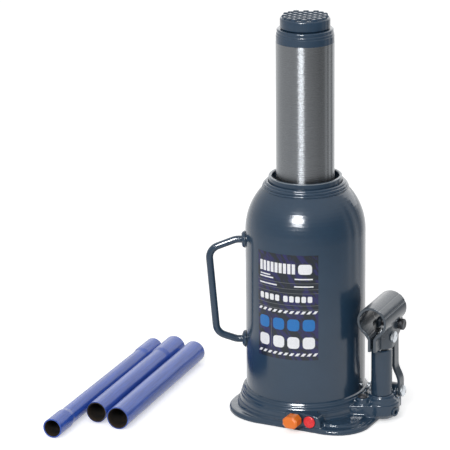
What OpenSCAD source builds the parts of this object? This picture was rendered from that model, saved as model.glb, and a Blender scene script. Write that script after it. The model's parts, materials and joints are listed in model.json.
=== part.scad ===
// Hydraulic bottle jack with a screw-out saddle, a lever pump and a loose three-piece lever.
// Origin: on the floor under the ram. +Z is up, +X points to the pump, -Y is the valve side.

/* [Base casting] */
// Distance from the tank's ring to the left edge of the flange
flange_left_out = 6.9; // [6.4:0.1:19]
// Distance from the pump axis to the right edge of the flange
flange_right_out = 1.5; // [0.5:0.1:10]
// Distance from the tank's ring to the front and back edges of the flange
flange_side_out = 4.9; // [4.4:0.1:11]
// Thickness of the flange
flange_t = 5; // [4.5:0.5:7]
// Corner radius at the left end of the flange
left_corner_r = 46; // [36:1:56]
// Corner radius at the right end of the flange
right_corner_r = 34; // [20:1:44]
// Bevel along the top edge of the flange
flange_bevel = 1.8; // [0.6:0.1:2.2]
// Width of the flat rim outside the raised pad
rim_w = 9; // [7:0.5:11]
// Height of the raised pad above the flange
pad_h = 2.6; // [1:0.1:3]
// Wall of the ring that holds the foot of the tank
ring_wall = 3.4; // [2.8:0.1:4]
// Width of each of the two steps round the ring
ring_step = 0.9; // [0.4:0.1:1.2]
// Height of the top of that ring
ring_top = 21; // [20:0.25:23]
// How far the sloping skirt spreads below the ring
skirt_spread = 2.6; // [1:0.2:10]
// Height of the reservoir floor inside the tank
oil_floor_z = 18; // [17:0.25:19]
// Height of the threaded hub that holds the pressure cylinder
hub_top = 30; // [27:0.5:36]
// Wall of that hub
hub_wall = 6.3; // [5:0.1:7.5]

/* [Tank] */
// Outside diameter of the oil tank
tank_od = 114; // [113:0.5:115]
// Wall of the oil tank
tank_wall = 3; // [2:0.25:4]
// Height where the domed shoulder starts
shoulder_z = 178; // [172:1:184]
// Radius of the domed shoulder
shoulder_r = 60; // [58.5:0.5:62]
// Leg of the weld between tank and base
foot_weld = 2.4; // [1.5:0.1:3]
// Radius of the weld round the cylinder's neck
neck_weld_r = 1.7; // [1:0.1:2.2]
// Height of the oil filler hole
filler_z = 158; // [140:1:168]
// Radius of the oil filler hole
filler_r = 5; // [4:0.25:6]

/* [Cylinder and ram] */
// Wall of the pressure cylinder round the gland nut
rim_wall = 2.8; // [2.4:0.1:3.2]
// Bore of the pressure cylinder
cylinder_bore = 60; // [59:0.25:61]
// Height of the top rim of the pressure cylinder
cylinder_top = 231.4; // [229:0.2:238]
// Diameter of the counterbore for the gland nut
gland_od = 63.6; // [63:0.1:64.2]
// Length of the gland nut
gland_len = 16; // [14:0.5:18]
// Depth of the gland nut below the cylinder's rim
gland_depth = 8.4; // [7:0.2:10]
// Diameter of the ram
ram_d = 54.9; // [53.5:0.1:56]
// Stroke of the ram, shown fully out
ram_stroke = 150; // [140:1:150]
// Height of the painted head at the top of the ram, a hair smaller than the bare steel
ram_head_h = 12.6; // [10:0.2:16]
// Height of the ram's top above the cylinder's rim when the ram is fully down
ram_top_down = -8.8; // [-10:0.2:-6]
// Length of the piston at the ram's foot
piston_len = 22; // [18:0.5:26]
// Height of the seal on the piston
piston_seal_h = 7; // [5:0.5:8]

/* [Extension screw and saddle] */
// Diameter of the extension screw
screw_d = 36; // [32:0.5:38]
// Length of the threaded part of the screw
screw_len = 110; // [100:1:118]
// Diameter of the neck that shows under the saddle
neck_d = 32; // [26:0.5:34]
// Height of that neck
neck_h = 1.6; // [1:0.1:3]
// Diameter of the saddle
saddle_d = 47; // [42:0.5:52]
// Height of the saddle without its studs
saddle_h = 9.6; // [8.5:0.1:12]
// Diameter of the spigot that the saddle turns on
spigot_d = 18; // [14:0.5:20]
// Height of that spigot
spigot_h = 5.5; // [4:0.25:6]
// Spacing of the grip studs on the saddle
stud_pitch = 8.2; // [7.6:0.1:9]
// Radius of one grip stud
stud_r = 3.2; // [2.4:0.1:3.6]
// Height that a stud stands above the saddle
stud_rise = 1.2; // [0.6:0.1:1.6]

/* [Pump] */
// Distance from the tank's side to the pump axis
pump_out = 22.5; // [22:0.25:25]
// Outside diameter of the pump cylinder
pump_od = 20; // [18.5:0.25:20.5]
// Height of the top of the pump cylinder
pump_top = 70; // [67:0.5:71]
// Diameter of the plunger
plunger_d = 12; // [10:0.25:12.5]
// Radius of the plunger's head
plunger_head_r = 8.2; // [7.8:0.1:8.3]
// Radius of the round nose of the base under the pump
nose_r = 17.5; // [16.5:0.5:19]
// Height of the underside of that nose
nose_z = 2; // [1.5:0.25:4.5]
// Height of the top of that nose
nose_top = 19; // [18:0.25:19.5]
// Radius of the collar round the foot of the pump
collar_r = 13.8; // [13.5:0.1:15]
// Height of the top of that collar
collar_top = 25; // [24.5:0.25:28]
// Radius of the column that holds the delivery valve
column_r = 6.5; // [6.25:0.25:8]
// Height of the top of that column
column_top = 24; // [23:0.25:25]

/* [Lever socket and links] */
// Outside diameter of the socket tube
socket_od = 29.5; // [28.5:0.25:30.5]
// Bore of the socket tube
socket_bore = 24.6; // [24:0.1:25]
// Length of the socket tube
socket_len = 49; // [44:0.5:54]
// Distance from the pump axis to the socket's mouth
socket_mouth = 25; // [23:0.5:27]
// Height of the socket's axis over the pump
socket_z = 104.4; // [103.5:0.1:106]
// Depth that the socket is sized to for the lever
lever_depth = 31; // [28:0.5:32]
// Angle by which the mouth hangs down at rest
socket_tilt = 3; // [2:0.25:4]
// Half the gap between the socket's cheeks
cheek_in = 8.6; // [8.5:0.05:9]
// Thickness of the cheeks and links
plate_t = 2.6; // [2.2:0.1:2.8]
// Height of the pin through the plunger
plunger_pin_z = 83.2; // [83:0.1:83.6]
// Height of the pin through the links' upper ends
upper_pin_z = 91; // [90.5:0.1:91.5]
// Distance from the pump axis back to the links' upper pin
upper_pin_y = 15.5; // [15.2:0.1:16]
// Height of the links' lower pin
lower_pin_z = 23; // [22.5:0.1:23.5]
// Distance from the pump axis back to the links' lower pin
lower_pin_y = 17.5; // [17:0.1:18]
// Diameter of the plunger pin
plunger_pin_d = 7; // [6:0.1:7.2]
// Diameter of the links' upper pin
upper_pin_d = 7.5; // [6.5:0.1:8]
// Height of the shoulder under the upper pin's head
pivot_shoulder = 2.4; // [1:0.2:4]
// How far the links' lower pin reaches from the pump axis towards the tank
foot_pin_reach = 21.8; // [21:0.1:22]
// Diameter of the links' lower pin
lower_pin_d = 8; // [7:0.1:8.4]
// Width of a link
link_w = 11; // [10.4:0.1:11.4]
// Height where the links start to bend outwards
joggle_top = 50; // [46:0.5:56]
// Height where that bend ends
joggle_foot = 33; // [31:0.5:38]
// Half the gap between the links' feet
link_foot_in = 11; // [10.8:0.1:11.4]

/* [Valves] */
// Distance from the ram axis to the release valve's axis
release_x = 19; // [18:0.25:20]
// Height of the release valve's axis
release_z = 11; // [11:0.1:11.6]
// Distance from the ram axis to the overload valve's axis
overload_x = 33.6; // [33:0.1:35]
// Height of the overload valve's axis
overload_z = 10; // [9.8:0.1:10.4]
// Distance from the tank's ring to the front face of the valve housing
housing_out = 3.4; // [2.4:0.1:5.4]
// Height of the valve housing
housing_top = 17; // [16.5:0.25:18]
// Width of the release knob
knob_w = 14.8; // [14:0.1:17]
// Height of the release knob
knob_h = 11.4; // [10.8:0.2:14.5]
// Length of the release knob
knob_len = 12.5; // [11:0.5:16]
// Diameter of the overload valve's cap
cap_d = 11.6; // [10.4:0.1:12]

/* [Carry handle] */
// Diameter of the handle's rod
rod_d = 7; // [6:0.25:7.5]
// Height of the upper handle boss
boss_upper_z = 168; // [162:1:170]
// Height of the lower handle boss
boss_lower_z = 68; // [60:1:74]
// Distance from the tank's side to the grip's upper corner
grip_upper_out = 34.8; // [29:0.2:41]
// Distance from the tank's side to the grip's lower corner
grip_lower_out = 28; // [23:0.2:35]
// Radius of the welded bosses that hold the handle
boss_r = 8.2; // [7:0.1:9]
// How far the bosses stand out from the tank
boss_out = 3.8; // [3:0.1:6]
// Angle of the handle, from straight left towards the front
handle_angle = 26; // [15:1:40]
// Radius of the bends at the grip
grip_bend_r = 12; // [9:0.5:16]

/* [Lever sections] */
// Outside diameter of the outer lever section
lever_outer_d = 22; // [21:0.25:22.5]
// Outside diameter of the middle lever section
lever_middle_d = 20.6; // [19.5:0.1:21]
// Outside diameter of the inner lever section
lever_inner_d = 17; // [16:0.1:17.5]
// Wall of the lever sections
lever_wall = 1.4; // [1:0.1:1.6]
// Length of the outer and the middle lever sections
lever_len = 194; // [185:1:205]
// Length of the inner lever section
lever_inner_len = 238; // [225:1:250]
// How far the belled ends are widened, in radius
bell_rise = 0.9; // [0.6:0.1:1.1]
// Length of the bell at the middle section's far end
bell_middle = 36; // [28:1:40]
// Length of the bell at the inner section's near end
bell_near_len = 26; // [20:1:34]
// Length of the bell at the inner section's far end
bell_far_len = 30; // [24:1:36]
// Distance of the outer lever's mouth in front of the ram axis
lever_front = 133.7; // [125:0.1:150]
// Distance of the outer lever's mouth to the left of the ram axis
lever_left = 133.6; // [130:0.1:150]
// How far the middle lever's mouth lies to the left of the outer one's
middle_left = 25.5; // [24.5:0.1:30]
// How far the middle lever's mouth lies behind the outer one's
middle_back = 4.6; // [0:0.1:10]
// How far the inner lever's mouth lies to the left of the outer one's
inner_left = 45; // [44.6:0.1:55]
// How far the inner lever's mouth lies in front of the outer one's
inner_front = 45.2; // [40:0.1:55]

/* [Hidden] */
$fn = 64;
clear = 0.05;       // running clearance of round fits
seat = 0.02;        // gap between pieces that are fastened face to face
eps = 0.01;         // overlap of a cutter past the face that it opens
tank_r = tank_od / 2;
cyl_r = gland_od / 2 + rim_wall;
bore_r = cylinder_bore / 2;
ram_r = ram_d / 2;
wiper_r = ram_r + 2.4;                // seat of the wiper in the gland nut
ring_r = tank_r + 0.2 + ring_wall;
pump_x = tank_r + pump_out;
flange_left = ring_r + flange_left_out;
flange_right = pump_x + flange_right_out;
flange_half_w = ring_r + flange_side_out;
housing_y = ring_r + housing_out;
cyl_seat_z = 15;                      // foot of the pressure cylinder
gasket_t = 1;                         // copper gasket under it
chamber_floor = 8;                    // floor of the oil chamber under the ram
chamber_r = 26;
tank_foot_z = 17.5;                   // foot of the tank in its groove
tank_seal_t = 1;
gland_top = cylinder_top - gland_depth;
gland_foot = gland_top - gland_len;
ram_top = cylinder_top + ram_top_down + ram_stroke;
ram_foot = cyl_seat_z + 1.2 + ram_stroke;
piston_r = bore_r - clear;
piston_top = ram_foot + piston_len;
sleeve_r = bore_r - 0.3;
screw_hole_r = screw_d / 2 + clear;
saddle_foot = ram_top + neck_h;
neck_r = cyl_r + neck_weld_r;         // where the dome meets the neck weld

pin_reach = 2.9;                      // how far the linkage's pins stand outside the cheeks
socket_r = socket_od / 2;
socket_bore_r = socket_bore / 2;
cheek_out = cheek_in + plate_t;
link_head_in = cheek_in - 0.3 - plate_t;
link_span = upper_pin_z - lower_pin_z;
pump_r = pump_od / 2;
plunger_r = plunger_d / 2;
knob_sweep = norm([knob_w, knob_h]) / 2 + 0.6; // the knob's room as it turns
pump_foot = 17;                       // foot of the pump cylinder in its well
pump_thread_r = pump_r - 1.2;
pocket_floor = 12.5;                  // seat of the inlet ball
ball_r = 2.75;                        // check balls
feed_z = 9.5;                         // height of the feed drilling
feed_r = 2.2;
feed_angle = -17;                     // direction of the feed drilling's plug, seen from the pump
feed_reach = 35.5;                    // length of the feed drilling inboard of the pump
column_pos = [pump_x - 13.5, -14];
column_seat = 8.5;                    // seat of the delivery ball
column_bore_r = 3.2;
plug_r = 4.4;
slot_reach = 2.5;                     // extra room for the plunger pin, where the loop is open
foot_pin_tail = pump_x - foot_pin_reach;

release_seat_y = -36;
release_ball_r = 2.5;
overload_seat_y = -36;
knob_gap = 1.4;

// ---- shared shapes ----

// A ring or disc of revolution between two heights.
module tube(ri, ro, z0, z1) {
    translate([0, 0, z0]) difference() {
        cylinder(r = ro, h = z1 - z0);
        if (ri > 0) translate([0, 0, -1]) cylinder(r = ri, h = z1 - z0 + 2);
    }
}

// A round bar along X from x0 to x1, centred at y and z.
module bar_x(r, x0, x1, y, z) {
    translate([x0, y, z]) rotate([0, 90, 0]) cylinder(r = r, h = x1 - x0);
}

// A round bar along Y from y0 to y1, centred at x and z.
module bar_y(r, y0, y1, x, z) {
    translate([x, y0, z]) rotate([-90, 0, 0]) cylinder(r = r, h = y1 - y0);
}

// A round bar from point a to point b.
module bar(a, b, r) {
    v = b - a;
    span = norm(v);
    translate(a) rotate([0, acos(v[2] / span), atan2(v[1], v[0])]) cylinder(r = r, h = span);
}

// A closed helical spring along +Z, swept by functions.
module coil_spring(r, wire, z0, z1, turns) {
    sides = 8;
    steps = 20 * turns;
    pts = [for (i = [0:steps]) let (a = i * 18, z = z0 + wire + (z1 - z0 - 2 * wire) * i / steps)
        for (k = [0:sides - 1]) let (b = k * 360 / sides, q = r + wire * cos(b))
            [q * cos(a), q * sin(a), z + wire * sin(b)]];
    walls = [for (i = [0:steps - 1], k = [0:sides - 1]) let (n = (k + 1) % sides, c = i * sides)
        [c + k, c + sides + k, c + sides + n, c + n]];
    ends = [[for (k = [0:sides - 1]) k], [for (k = [sides - 1:-1:0]) steps * sides + k]];
    polyhedron(points = pts, faces = concat(walls, ends));
}

// ---- base ----

// The flange's outline, moved inwards by inset.
module flange_outline(inset) {
    xl = -flange_left + inset;
    xr = flange_right - inset;
    y = flange_half_w - inset;
    rl = left_corner_r - inset;
    rr = right_corner_r - inset;
    for (s = [-1, 1]) {
        translate([xl + rl, s * (y - rl)]) circle(r = rl, $fn = 128);
        translate([xr - rr, s * (y - rr)]) circle(r = rr, $fn = 128);
    }
    polygon([[xl + rl, -y], [xr - rr, -y], [xr, rr - y], [xr, y - rr],
             [xr - rr, y], [xl + rl, y], [xl, y - rl], [xl, rl - y]]);
}

module flange() {
    linear_extrude(flange_t - flange_bevel + eps) flange_outline(0);
    hull() {
        translate([0, 0, flange_t - flange_bevel]) linear_extrude(eps) flange_outline(0);
        translate([0, 0, flange_t - eps]) linear_extrude(eps) flange_outline(flange_bevel);
    }
    translate([0, 0, flange_t - eps]) linear_extrude(pad_h + eps) flange_outline(rim_w);
    intersection() {
        rotate_extrude($fn = 128) polygon([[0, flange_t - eps],
            [ring_r + 2 * ring_step + skirt_spread, flange_t - eps],
            [ring_r + 2 * ring_step + skirt_spread, flange_t + pad_h + 0.4],
            [ring_r + 2 * ring_step, flange_t + pad_h + 1.8], [ring_r + 2 * ring_step, ring_top - 6.6],
            [ring_r + ring_step, ring_top - 5.8], [ring_r + ring_step, ring_top - 3.6],
            [ring_r - eps, ring_top - 2.8], [0, ring_top - 2.8]]);
        linear_extrude(ring_top) flange_outline(flange_bevel + 0.2);
    }
}

// The solid ring and hub, before the inside is cut.
module ring() {
    rotate_extrude($fn = 128) polygon([[0, 0], [ring_r, 0], [ring_r, ring_top - 1.4],
        [ring_r - 1.4, ring_top], [0, ring_top]]);
    cylinder(r = cyl_r + 0.1 + hub_wall, h = hub_top, $fn = 96);
}

// The pump's round nose with its bevelled underside, and the bridge back to the ring.
module pump_nose() {
    translate([pump_x, 0, 0]) rotate_extrude() polygon([[0, nose_z], [nose_r - 5, nose_z],
        [nose_r, nose_z + 5.4], [nose_r, nose_top - 1.5], [nose_r - 1.5, nose_top], [0, nose_top]]);
    hull() {
        translate([pump_x, 0, flange_t]) cylinder(r = nose_r - 2, h = nose_top - 2 - flange_t, $fn = 32);
        translate([ring_r - 26, 0, flange_t]) cylinder(r = 30, h = nose_top - 3 - flange_t, $fn = 32);
        translate([column_pos[0], column_pos[1], flange_t])
            cylinder(r = column_r + 1.5, h = nose_top - 2 - flange_t, $fn = 32);
    }
    translate([pump_x, 0, 0]) rotate_extrude() polygon([[0, nose_top - 2], [collar_r + 1.4, nose_top - 2],
        [collar_r + 1.4, nose_top + 1.2], [collar_r, nose_top + 2.2], [collar_r, collar_top - 3.4],
        [collar_r - 1.6, collar_top - 2.6], [collar_r - 1.6, collar_top - 0.8],
        [collar_r - 2.4, collar_top], [0, collar_top]]);
    translate(column_pos) rotate_extrude() polygon([[0, 2], [column_r, 2], [column_r, column_top - 1.5],
        [column_r - 1.5, column_top], [0, column_top]]);
}

// The lug behind the pump that carries the links' lower pin.
module link_lug() {
    half = link_foot_in - 0.5;
    r = lower_pin_d / 2 + 3.6;
    bar_x(r, pump_x - half, pump_x + half, lower_pin_y, lower_pin_z);
    translate([pump_x - half, lower_pin_y - r + 0.5, flange_t - eps])
        cube([2 * half, 2 * r - 1, lower_pin_z - flange_t]);
}

// The valve housing at the front, with one round shoulder.
module valve_housing() {
    x0 = release_x - 11;
    x1 = overload_x + 11;
    r = 8;
    translate([0, 8 - ring_r, 0]) rotate([90, 0, 0]) linear_extrude(housing_y + 8 - ring_r) {
        translate([x1 - r, housing_top - r]) circle(r = r);
        translate([x0 + 3, housing_top - 3]) circle(r = 3);
        polygon([[x0, 0], [x1, 0], [x1, housing_top - r], [x1 - r, housing_top],
                 [x0 + 3, housing_top], [x0, housing_top - 3]]);
    }
    translate([x0, 7 - ring_r, 0]) cube([x1 - x0 - r, 20, housing_top]);
}

// Everything that is open inside the base round the ram axis.
module base_inside() {
    hub_r = cyl_r + 0.1 + hub_wall;
    rotate_extrude($fn = 128) polygon([[0, chamber_floor], [chamber_r, chamber_floor],
        [chamber_r, cyl_seat_z - gasket_t], [cyl_r + clear, cyl_seat_z - gasket_t],
        [cyl_r + clear, hub_top], [hub_r - 1, hub_top], [hub_r, hub_top - 1], [hub_r, oil_floor_z],
        [tank_r - tank_wall - 0.2, oil_floor_z], [tank_r - tank_wall - 0.2, tank_foot_z - tank_seal_t],
        [tank_r + 0.2, tank_foot_z - tank_seal_t], [tank_r + 0.2, hub_top + 20], [0, hub_top + 20]]);
}

// Wells, valve seats and oil drillings on the pump side.
module pump_drillings() {
    translate([pump_x, 0, 0]) {
        translate([0, 0, pump_foot - 1]) cylinder(r = pump_thread_r + clear, h = 60);
        translate([0, 0, collar_top]) cylinder(r = pump_r + 0.1, h = 60);
        translate([0, 0, pocket_floor]) cylinder(r = 3.4, h = 10);
        translate([0, 0, feed_z]) cylinder(r = 1.75, h = 10);
        rotate([0, 0, feed_angle]) {
            translate([-feed_reach, 0, feed_z]) rotate([0, 90, 0]) cylinder(r = feed_r, h = 50);
            translate([nose_r - 4.5, 0, feed_z]) rotate([0, 90, 0]) cylinder(r = plug_r, h = 20);
            translate([-feed_reach, 0, feed_z]) cylinder(r = feed_r, h = 20);
        }
    }
    bar([pump_x, 0, 14.5], [column_pos[0], column_pos[1], 7], 1.4);
    translate(column_pos) {
        translate([0, 0, 6]) cylinder(r = 1.6, h = 10);
        translate([0, 0, column_seat]) cylinder(r = column_bore_r, h = 30);
        translate([0, 0, column_top - 5]) cylinder(r = plug_r, h = 30);
    }
    bar([column_pos[0], column_pos[1], 12], [20, -4, 12], 1.5);
}

// Room beside the lug for the feet of the links, the nut and the pin.
module link_clearance() {
    lug_half = link_foot_in - 0.5;
    room = link_w / 2 + 1.2;
    for (s = [-1, 1]) link_slot(s, lug_half, room);
    bar_x(lower_pin_d / 2, foot_pin_tail - 0.2, pump_x + 40, lower_pin_y, lower_pin_z);
}

// A slot on one side of the lug, round at its foot.
module link_slot(side, from, room) {
    reach = side < 0 ? from + 8.4 : from + 14;
    x0 = side < 0 ? pump_x - reach : pump_x + from;
    bar_x(room, x0, x0 + reach - from, lower_pin_y, lower_pin_z);
    translate([x0, lower_pin_y - room, lower_pin_z]) cube([reach - from, 2 * room, 20]);
}

// Release and overload valve bores, with their oil ways.
module valve_drillings() {
    bar_y(1.75, release_seat_y - 1, -16, release_x, release_z);
    bar_y(4, -housing_y + 22, release_seat_y, release_x, release_z);
    bar_y(5, -housing_y - 1, -housing_y + 22 + eps, release_x, release_z);
    translate([release_x, release_seat_y - 4, release_z]) cylinder(r = 1.6, h = 20);
    bar_x(1.25, release_x, overload_x, release_seat_y + 4, overload_z + 0.7);
    bar_y(1.3, overload_seat_y - 1, release_seat_y + 4.8, overload_x, overload_z);
    bar_y(3.4, -housing_y - 1, overload_seat_y, overload_x, overload_z);
    bar_y(knob_sweep, -housing_y - 9, -housing_y, release_x, release_z);
    bar_y(cap_d / 2 - 1, -housing_y - 1, -housing_y + 6, overload_x, overload_z);
    translate([overload_x, overload_seat_y - 2.6, overload_z]) cylinder(r = 1.3, h = 20);
}

module base_casting() {
    color("#41515f") difference() {
        union() {
            ring();
            flange();
            pump_nose();
            link_lug();
            valve_housing();
        }
        base_inside();
        pump_drillings();
        link_clearance();
        valve_drillings();
    }
}

// ---- tank and cylinder ----

// Points of the domed shoulder, at a distance inside the outer skin.
function dome(depth, r_end) = let (c = tank_r - shoulder_r, r = shoulder_r - depth, n = 14)
    [for (i = [0:n]) let (a = acos((r_end - c) / r) * i / n) [c + r * cos(a), shoulder_z + r * sin(a)]];

module reservoir_tank() {
    hole = cyl_r + seat;
    top = dome(0, neck_r);
    z_top = top[len(top) - 1][1];
    under = dome(tank_wall, hole);
    color("#41515f") difference() {
        union() {
            rotate_extrude($fn = 128) polygon(concat([[tank_r, tank_foot_z]], top, [[hole, z_top]],
                [for (i = [len(under) - 1:-1:0]) under[i]], [[tank_r - tank_wall, tank_foot_z]]));
            rotate_extrude($fn = 128) polygon([[tank_r - 0.5, ring_top + seat], [tank_r + foot_weld,
                ring_top + seat], [tank_r + foot_weld * 0.65, ring_top + foot_weld * 0.65],
                [tank_r, ring_top + foot_weld], [tank_r - 0.5, ring_top + foot_weld]]);
            rotate_extrude($fn = 128) intersection() {
                translate([neck_r - 0.3, z_top]) circle(r = neck_weld_r, $fn = 24);
                translate([hole, z_top - 4]) square([10, 12]);
            }
        }
        bar_y(filler_r, 20, tank_r + 20, 0, filler_z);
    }
}

module pressure_cylinder() {
    color("#3d4c59") rotate_extrude($fn = 128) polygon([[bore_r, cyl_seat_z], [cyl_r, cyl_seat_z],
        [cyl_r, cylinder_top - 0.8], [cyl_r - 0.8, cylinder_top], [gland_od / 2 + 0.6, cylinder_top],
        [gland_od / 2, cylinder_top - 0.6], [gland_od / 2, gland_foot - seat],
        [bore_r, gland_foot - seat]]);
}

module cylinder_gasket() {
    color("#b5683a") tube(chamber_r + 0.6, cyl_r - 0.1, cyl_seat_z - gasket_t + seat, cyl_seat_z - seat);
}

module tank_foot_seal() {
    color("#202124") tube(tank_r - tank_wall, tank_r, tank_foot_z - tank_seal_t + seat, tank_foot_z - seat);
}

module cylinder_gland_nut() {
    guide_r = ram_r + clear;
    color("#2c3136") difference() {
        rotate_extrude($fn = 128) polygon([[guide_r, gland_foot], [gland_od / 2 - seat, gland_foot],
            [gland_od / 2 - seat, gland_top], [wiper_r, gland_top], [wiper_r, gland_top - 4],
            [guide_r, gland_top - 4]]);
        for (a = [0:90:270]) rotate([0, 0, a]) translate([gland_od / 2 - 1, 0, gland_top - 3])
            cylinder(r = 1.4, h = 4);
    }
}

module ram_wiper() {
    color("#1a1b1d") rotate_extrude($fn = 128) polygon([[ram_r + clear, gland_top - 4 + seat],
        [wiper_r - clear, gland_top - 4 + seat], [wiper_r - clear, gland_top], [ram_r + 1.4, gland_top + 0.3],
        [ram_r + clear, gland_top + 1.2]]);
}

module filler_plug() {
    r = filler_r - seat;
    color("#202124") translate([0, tank_r, filler_z]) rotate([-90, 0, 0]) rotate_extrude() polygon([
        [0, -tank_wall - 3], [r - 1, -tank_wall - 3], [r, -tank_wall - 1.5], [r, 0.3],
        [r + 2.2, 0.3], [r + 2.2, 1.4], [r + 1.2, 2.4], [0, 2.6]]);
}

// ---- ram, screw and saddle ----

module ram() {
    groove = ram_foot + piston_len - 5 - piston_seal_h;
    color("#9aa0a4") rotate_extrude($fn = 128) polygon([[0, ram_foot], [piston_r - 1.5, ram_foot],
        [piston_r, ram_foot + 1.5], [piston_r, groove], [piston_r - 4, groove],
        [piston_r - 4, groove + piston_seal_h], [piston_r, groove + piston_seal_h],
        [piston_r, piston_top], [ram_r, piston_top], [ram_r, ram_top - ram_head_h],
        [ram_r - 0.2, ram_top - ram_head_h + 0.2], [ram_r - 0.2, ram_top - 1.6], [ram_r - 1.8, ram_top],
        [screw_hole_r + 1, ram_top], [screw_hole_r, ram_top - 1],
        [screw_hole_r, ram_top - screw_len - 10], [0, ram_top - screw_len - 16]]);
}

module piston_seal() {
    groove = ram_foot + piston_len - 5 - piston_seal_h;
    color("#7d5a2f") tube(piston_r - 4, piston_r, groove + seat, groove + piston_seal_h - seat);
}

module ram_stop_sleeve() {
    color("#777c80") tube(ram_r + seat, sleeve_r, piston_top + seat, gland_foot - 0.4);
}

module extension_screw() {
    color("#8b9094") rotate_extrude($fn = 96) polygon([[0, ram_top - screw_len], [screw_d / 2 - 1.5,
        ram_top - screw_len], [screw_d / 2, ram_top - screw_len + 1.5], [screw_d / 2, ram_top - 1.5],
        [neck_d / 2, ram_top], [neck_d / 2, saddle_foot - seat], [spigot_d / 2, saddle_foot - seat],
        [spigot_d / 2, saddle_foot + spigot_h - 1], [spigot_d / 2 - 1, saddle_foot + spigot_h],
        [0, saddle_foot + spigot_h]]);
}

module saddle() {
    r = saddle_d / 2;
    top = saddle_foot + saddle_h;
    hole_r = spigot_d / 2 + clear;
    sink = stud_r - stud_rise;
    color("#4b5a66") difference() {
        union() {
            rotate_extrude($fn = 96) polygon([[0, saddle_foot], [r - 2.4, saddle_foot],
                [r - 0.4, saddle_foot + 2], [r, saddle_foot + 3.4], [r, top - 4.2], [r - 0.8, top - 2.2],
                [r - 2.4, top - 0.8], [r - 4.6, top], [0, top]]);
            for (q = [-2:2], p = [-2:2]) {
                if (abs(p + q) <= 2)
                    translate([stud_pitch * (q + p / 2), stud_pitch * p * sqrt(3) / 2, top - sink])
                        sphere(r = stud_r, $fn = 24);
            }
        }
        translate([0, 0, saddle_foot - 1]) cylinder(r = hole_r, h = spigot_h + 1.3);
    }
}

// ---- pump ----

module pump_cylinder() {
    seal_z = pump_top - 9;
    color("#3d4c59") translate([pump_x, 0, 0]) rotate_extrude() polygon([
        [plunger_r + clear, pump_foot], [pump_thread_r, pump_foot], [pump_thread_r, collar_top + seat],
        [pump_r, collar_top + seat], [pump_r, pump_top - 1], [pump_r - 1, pump_top],
        [plunger_r + clear, pump_top], [plunger_r + clear, seal_z + 4], [plunger_r + 2, seal_z + 4],
        [plunger_r + 2, seal_z], [plunger_r + clear, seal_z]]);
}

module pump_gasket() {
    color("#b5683a") translate([pump_x, 0, 0])
        tube(plunger_r - 1.5, pump_thread_r - 0.1, pump_foot - 1 + seat, pump_foot - seat);
}

module plunger_seal() {
    seal_z = pump_top - 9;
    color("#202124") translate([pump_x, 0, 0])
        tube(plunger_r + clear, plunger_r + 2 - seat, seal_z + seat, seal_z + 4 - seat);
}

module plunger() {
    foot = pump_foot + 3.4;
    neck = pump_top + 3.2;
    slot_r = plunger_pin_d / 2 + 0.35;
    dome = [for (i = [0:8]) [plunger_head_r * cos(11.25 * i), plunger_pin_z + plunger_head_r * sin(11.25 * i)]];
    color("#9aa0a4") translate([pump_x, 0, 0]) difference() {
        rotate_extrude() polygon(concat([[0, foot], [plunger_r - 1, foot], [plunger_r, foot + 1],
            [plunger_r, neck], [plunger_head_r, neck]], dome));
        bar_x(slot_r, -20, 20, 0, plunger_pin_z);
        bar_x(slot_r, -20, 20, -slot_reach, plunger_pin_z);
        translate([-20, -slot_reach, plunger_pin_z - slot_r]) cube([40, slot_reach, 2 * slot_r]);
    }
}

// ---- check valves ----

// Height of a ball that rests on the edge of a round port.
function on_seat(z, port_r) = z + sqrt(ball_r * ball_r - port_r * port_r) + seat;

module inlet_check_ball() {
    color("#b8bcc0") translate([pump_x, 0, on_seat(pocket_floor, 1.75)]) sphere(r = ball_r, $fn = 32);
}

module delivery_check_ball() {
    color("#b8bcc0") translate([column_pos[0], column_pos[1], on_seat(column_seat, 1.6)])
        sphere(r = ball_r, $fn = 32);
}

module delivery_spring() {
    color("#8b9094") translate(column_pos)
        coil_spring(2.1, 0.35, on_seat(column_seat, 1.6) + 2.05, column_top - 5, 5);
}

module delivery_plug() {
    r = plug_r - seat;
    color("#5b524a") translate([column_pos[0], column_pos[1], column_top]) rotate_extrude() polygon([
        [0, -5 + seat], [r, -5 + seat], [r, 0.2], [r - 1, 1.2], [r - 2.6, 1.9], [0, 2.1]]);
}

module feed_plug() {
    r = plug_r - seat;
    color("#41515f") translate([pump_x, 0, feed_z]) rotate([0, 0, feed_angle]) difference() {
        translate([nose_r - 4.5 + seat, 0, 0]) rotate([0, 90, 0]) rotate_extrude() polygon([
            [0, 0], [r, 0], [r, 4.2], [r - 0.6, 4.8], [0, 4.8]]);
        translate([nose_r - 2, 0, 0]) rotate([0, 90, 0]) cylinder(r = 2.3, h = 5, $fn = 6);
    }
}

// ---- lever socket, links and pins ----

// Side view of the cheeks in Y and Z: level under the plunger, rising to the pivot.
module cheek_side() {
    foot = pump_top + 2.4;
    intersection() {
        union() {
            polygon([[-socket_mouth, foot], [3, foot], [upper_pin_y + 5.6, upper_pin_z - 5.6],
                     [upper_pin_y + 7.9, upper_pin_z], [upper_pin_y + 7.9, socket_z],
                     [-socket_mouth, socket_z]]);
            translate([upper_pin_y, upper_pin_z]) circle(r = 7.9);
        }
        translate([-socket_mouth, 0]) square([socket_mouth + upper_pin_y + 7.9, socket_z]);
    }
}

// Plan of the cheeks: round at the front, straight and open at the back.
module cheek_plan(half) {
    circle(r = half);
    translate([-half, 0]) square([2 * half, 40]);
}

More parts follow.
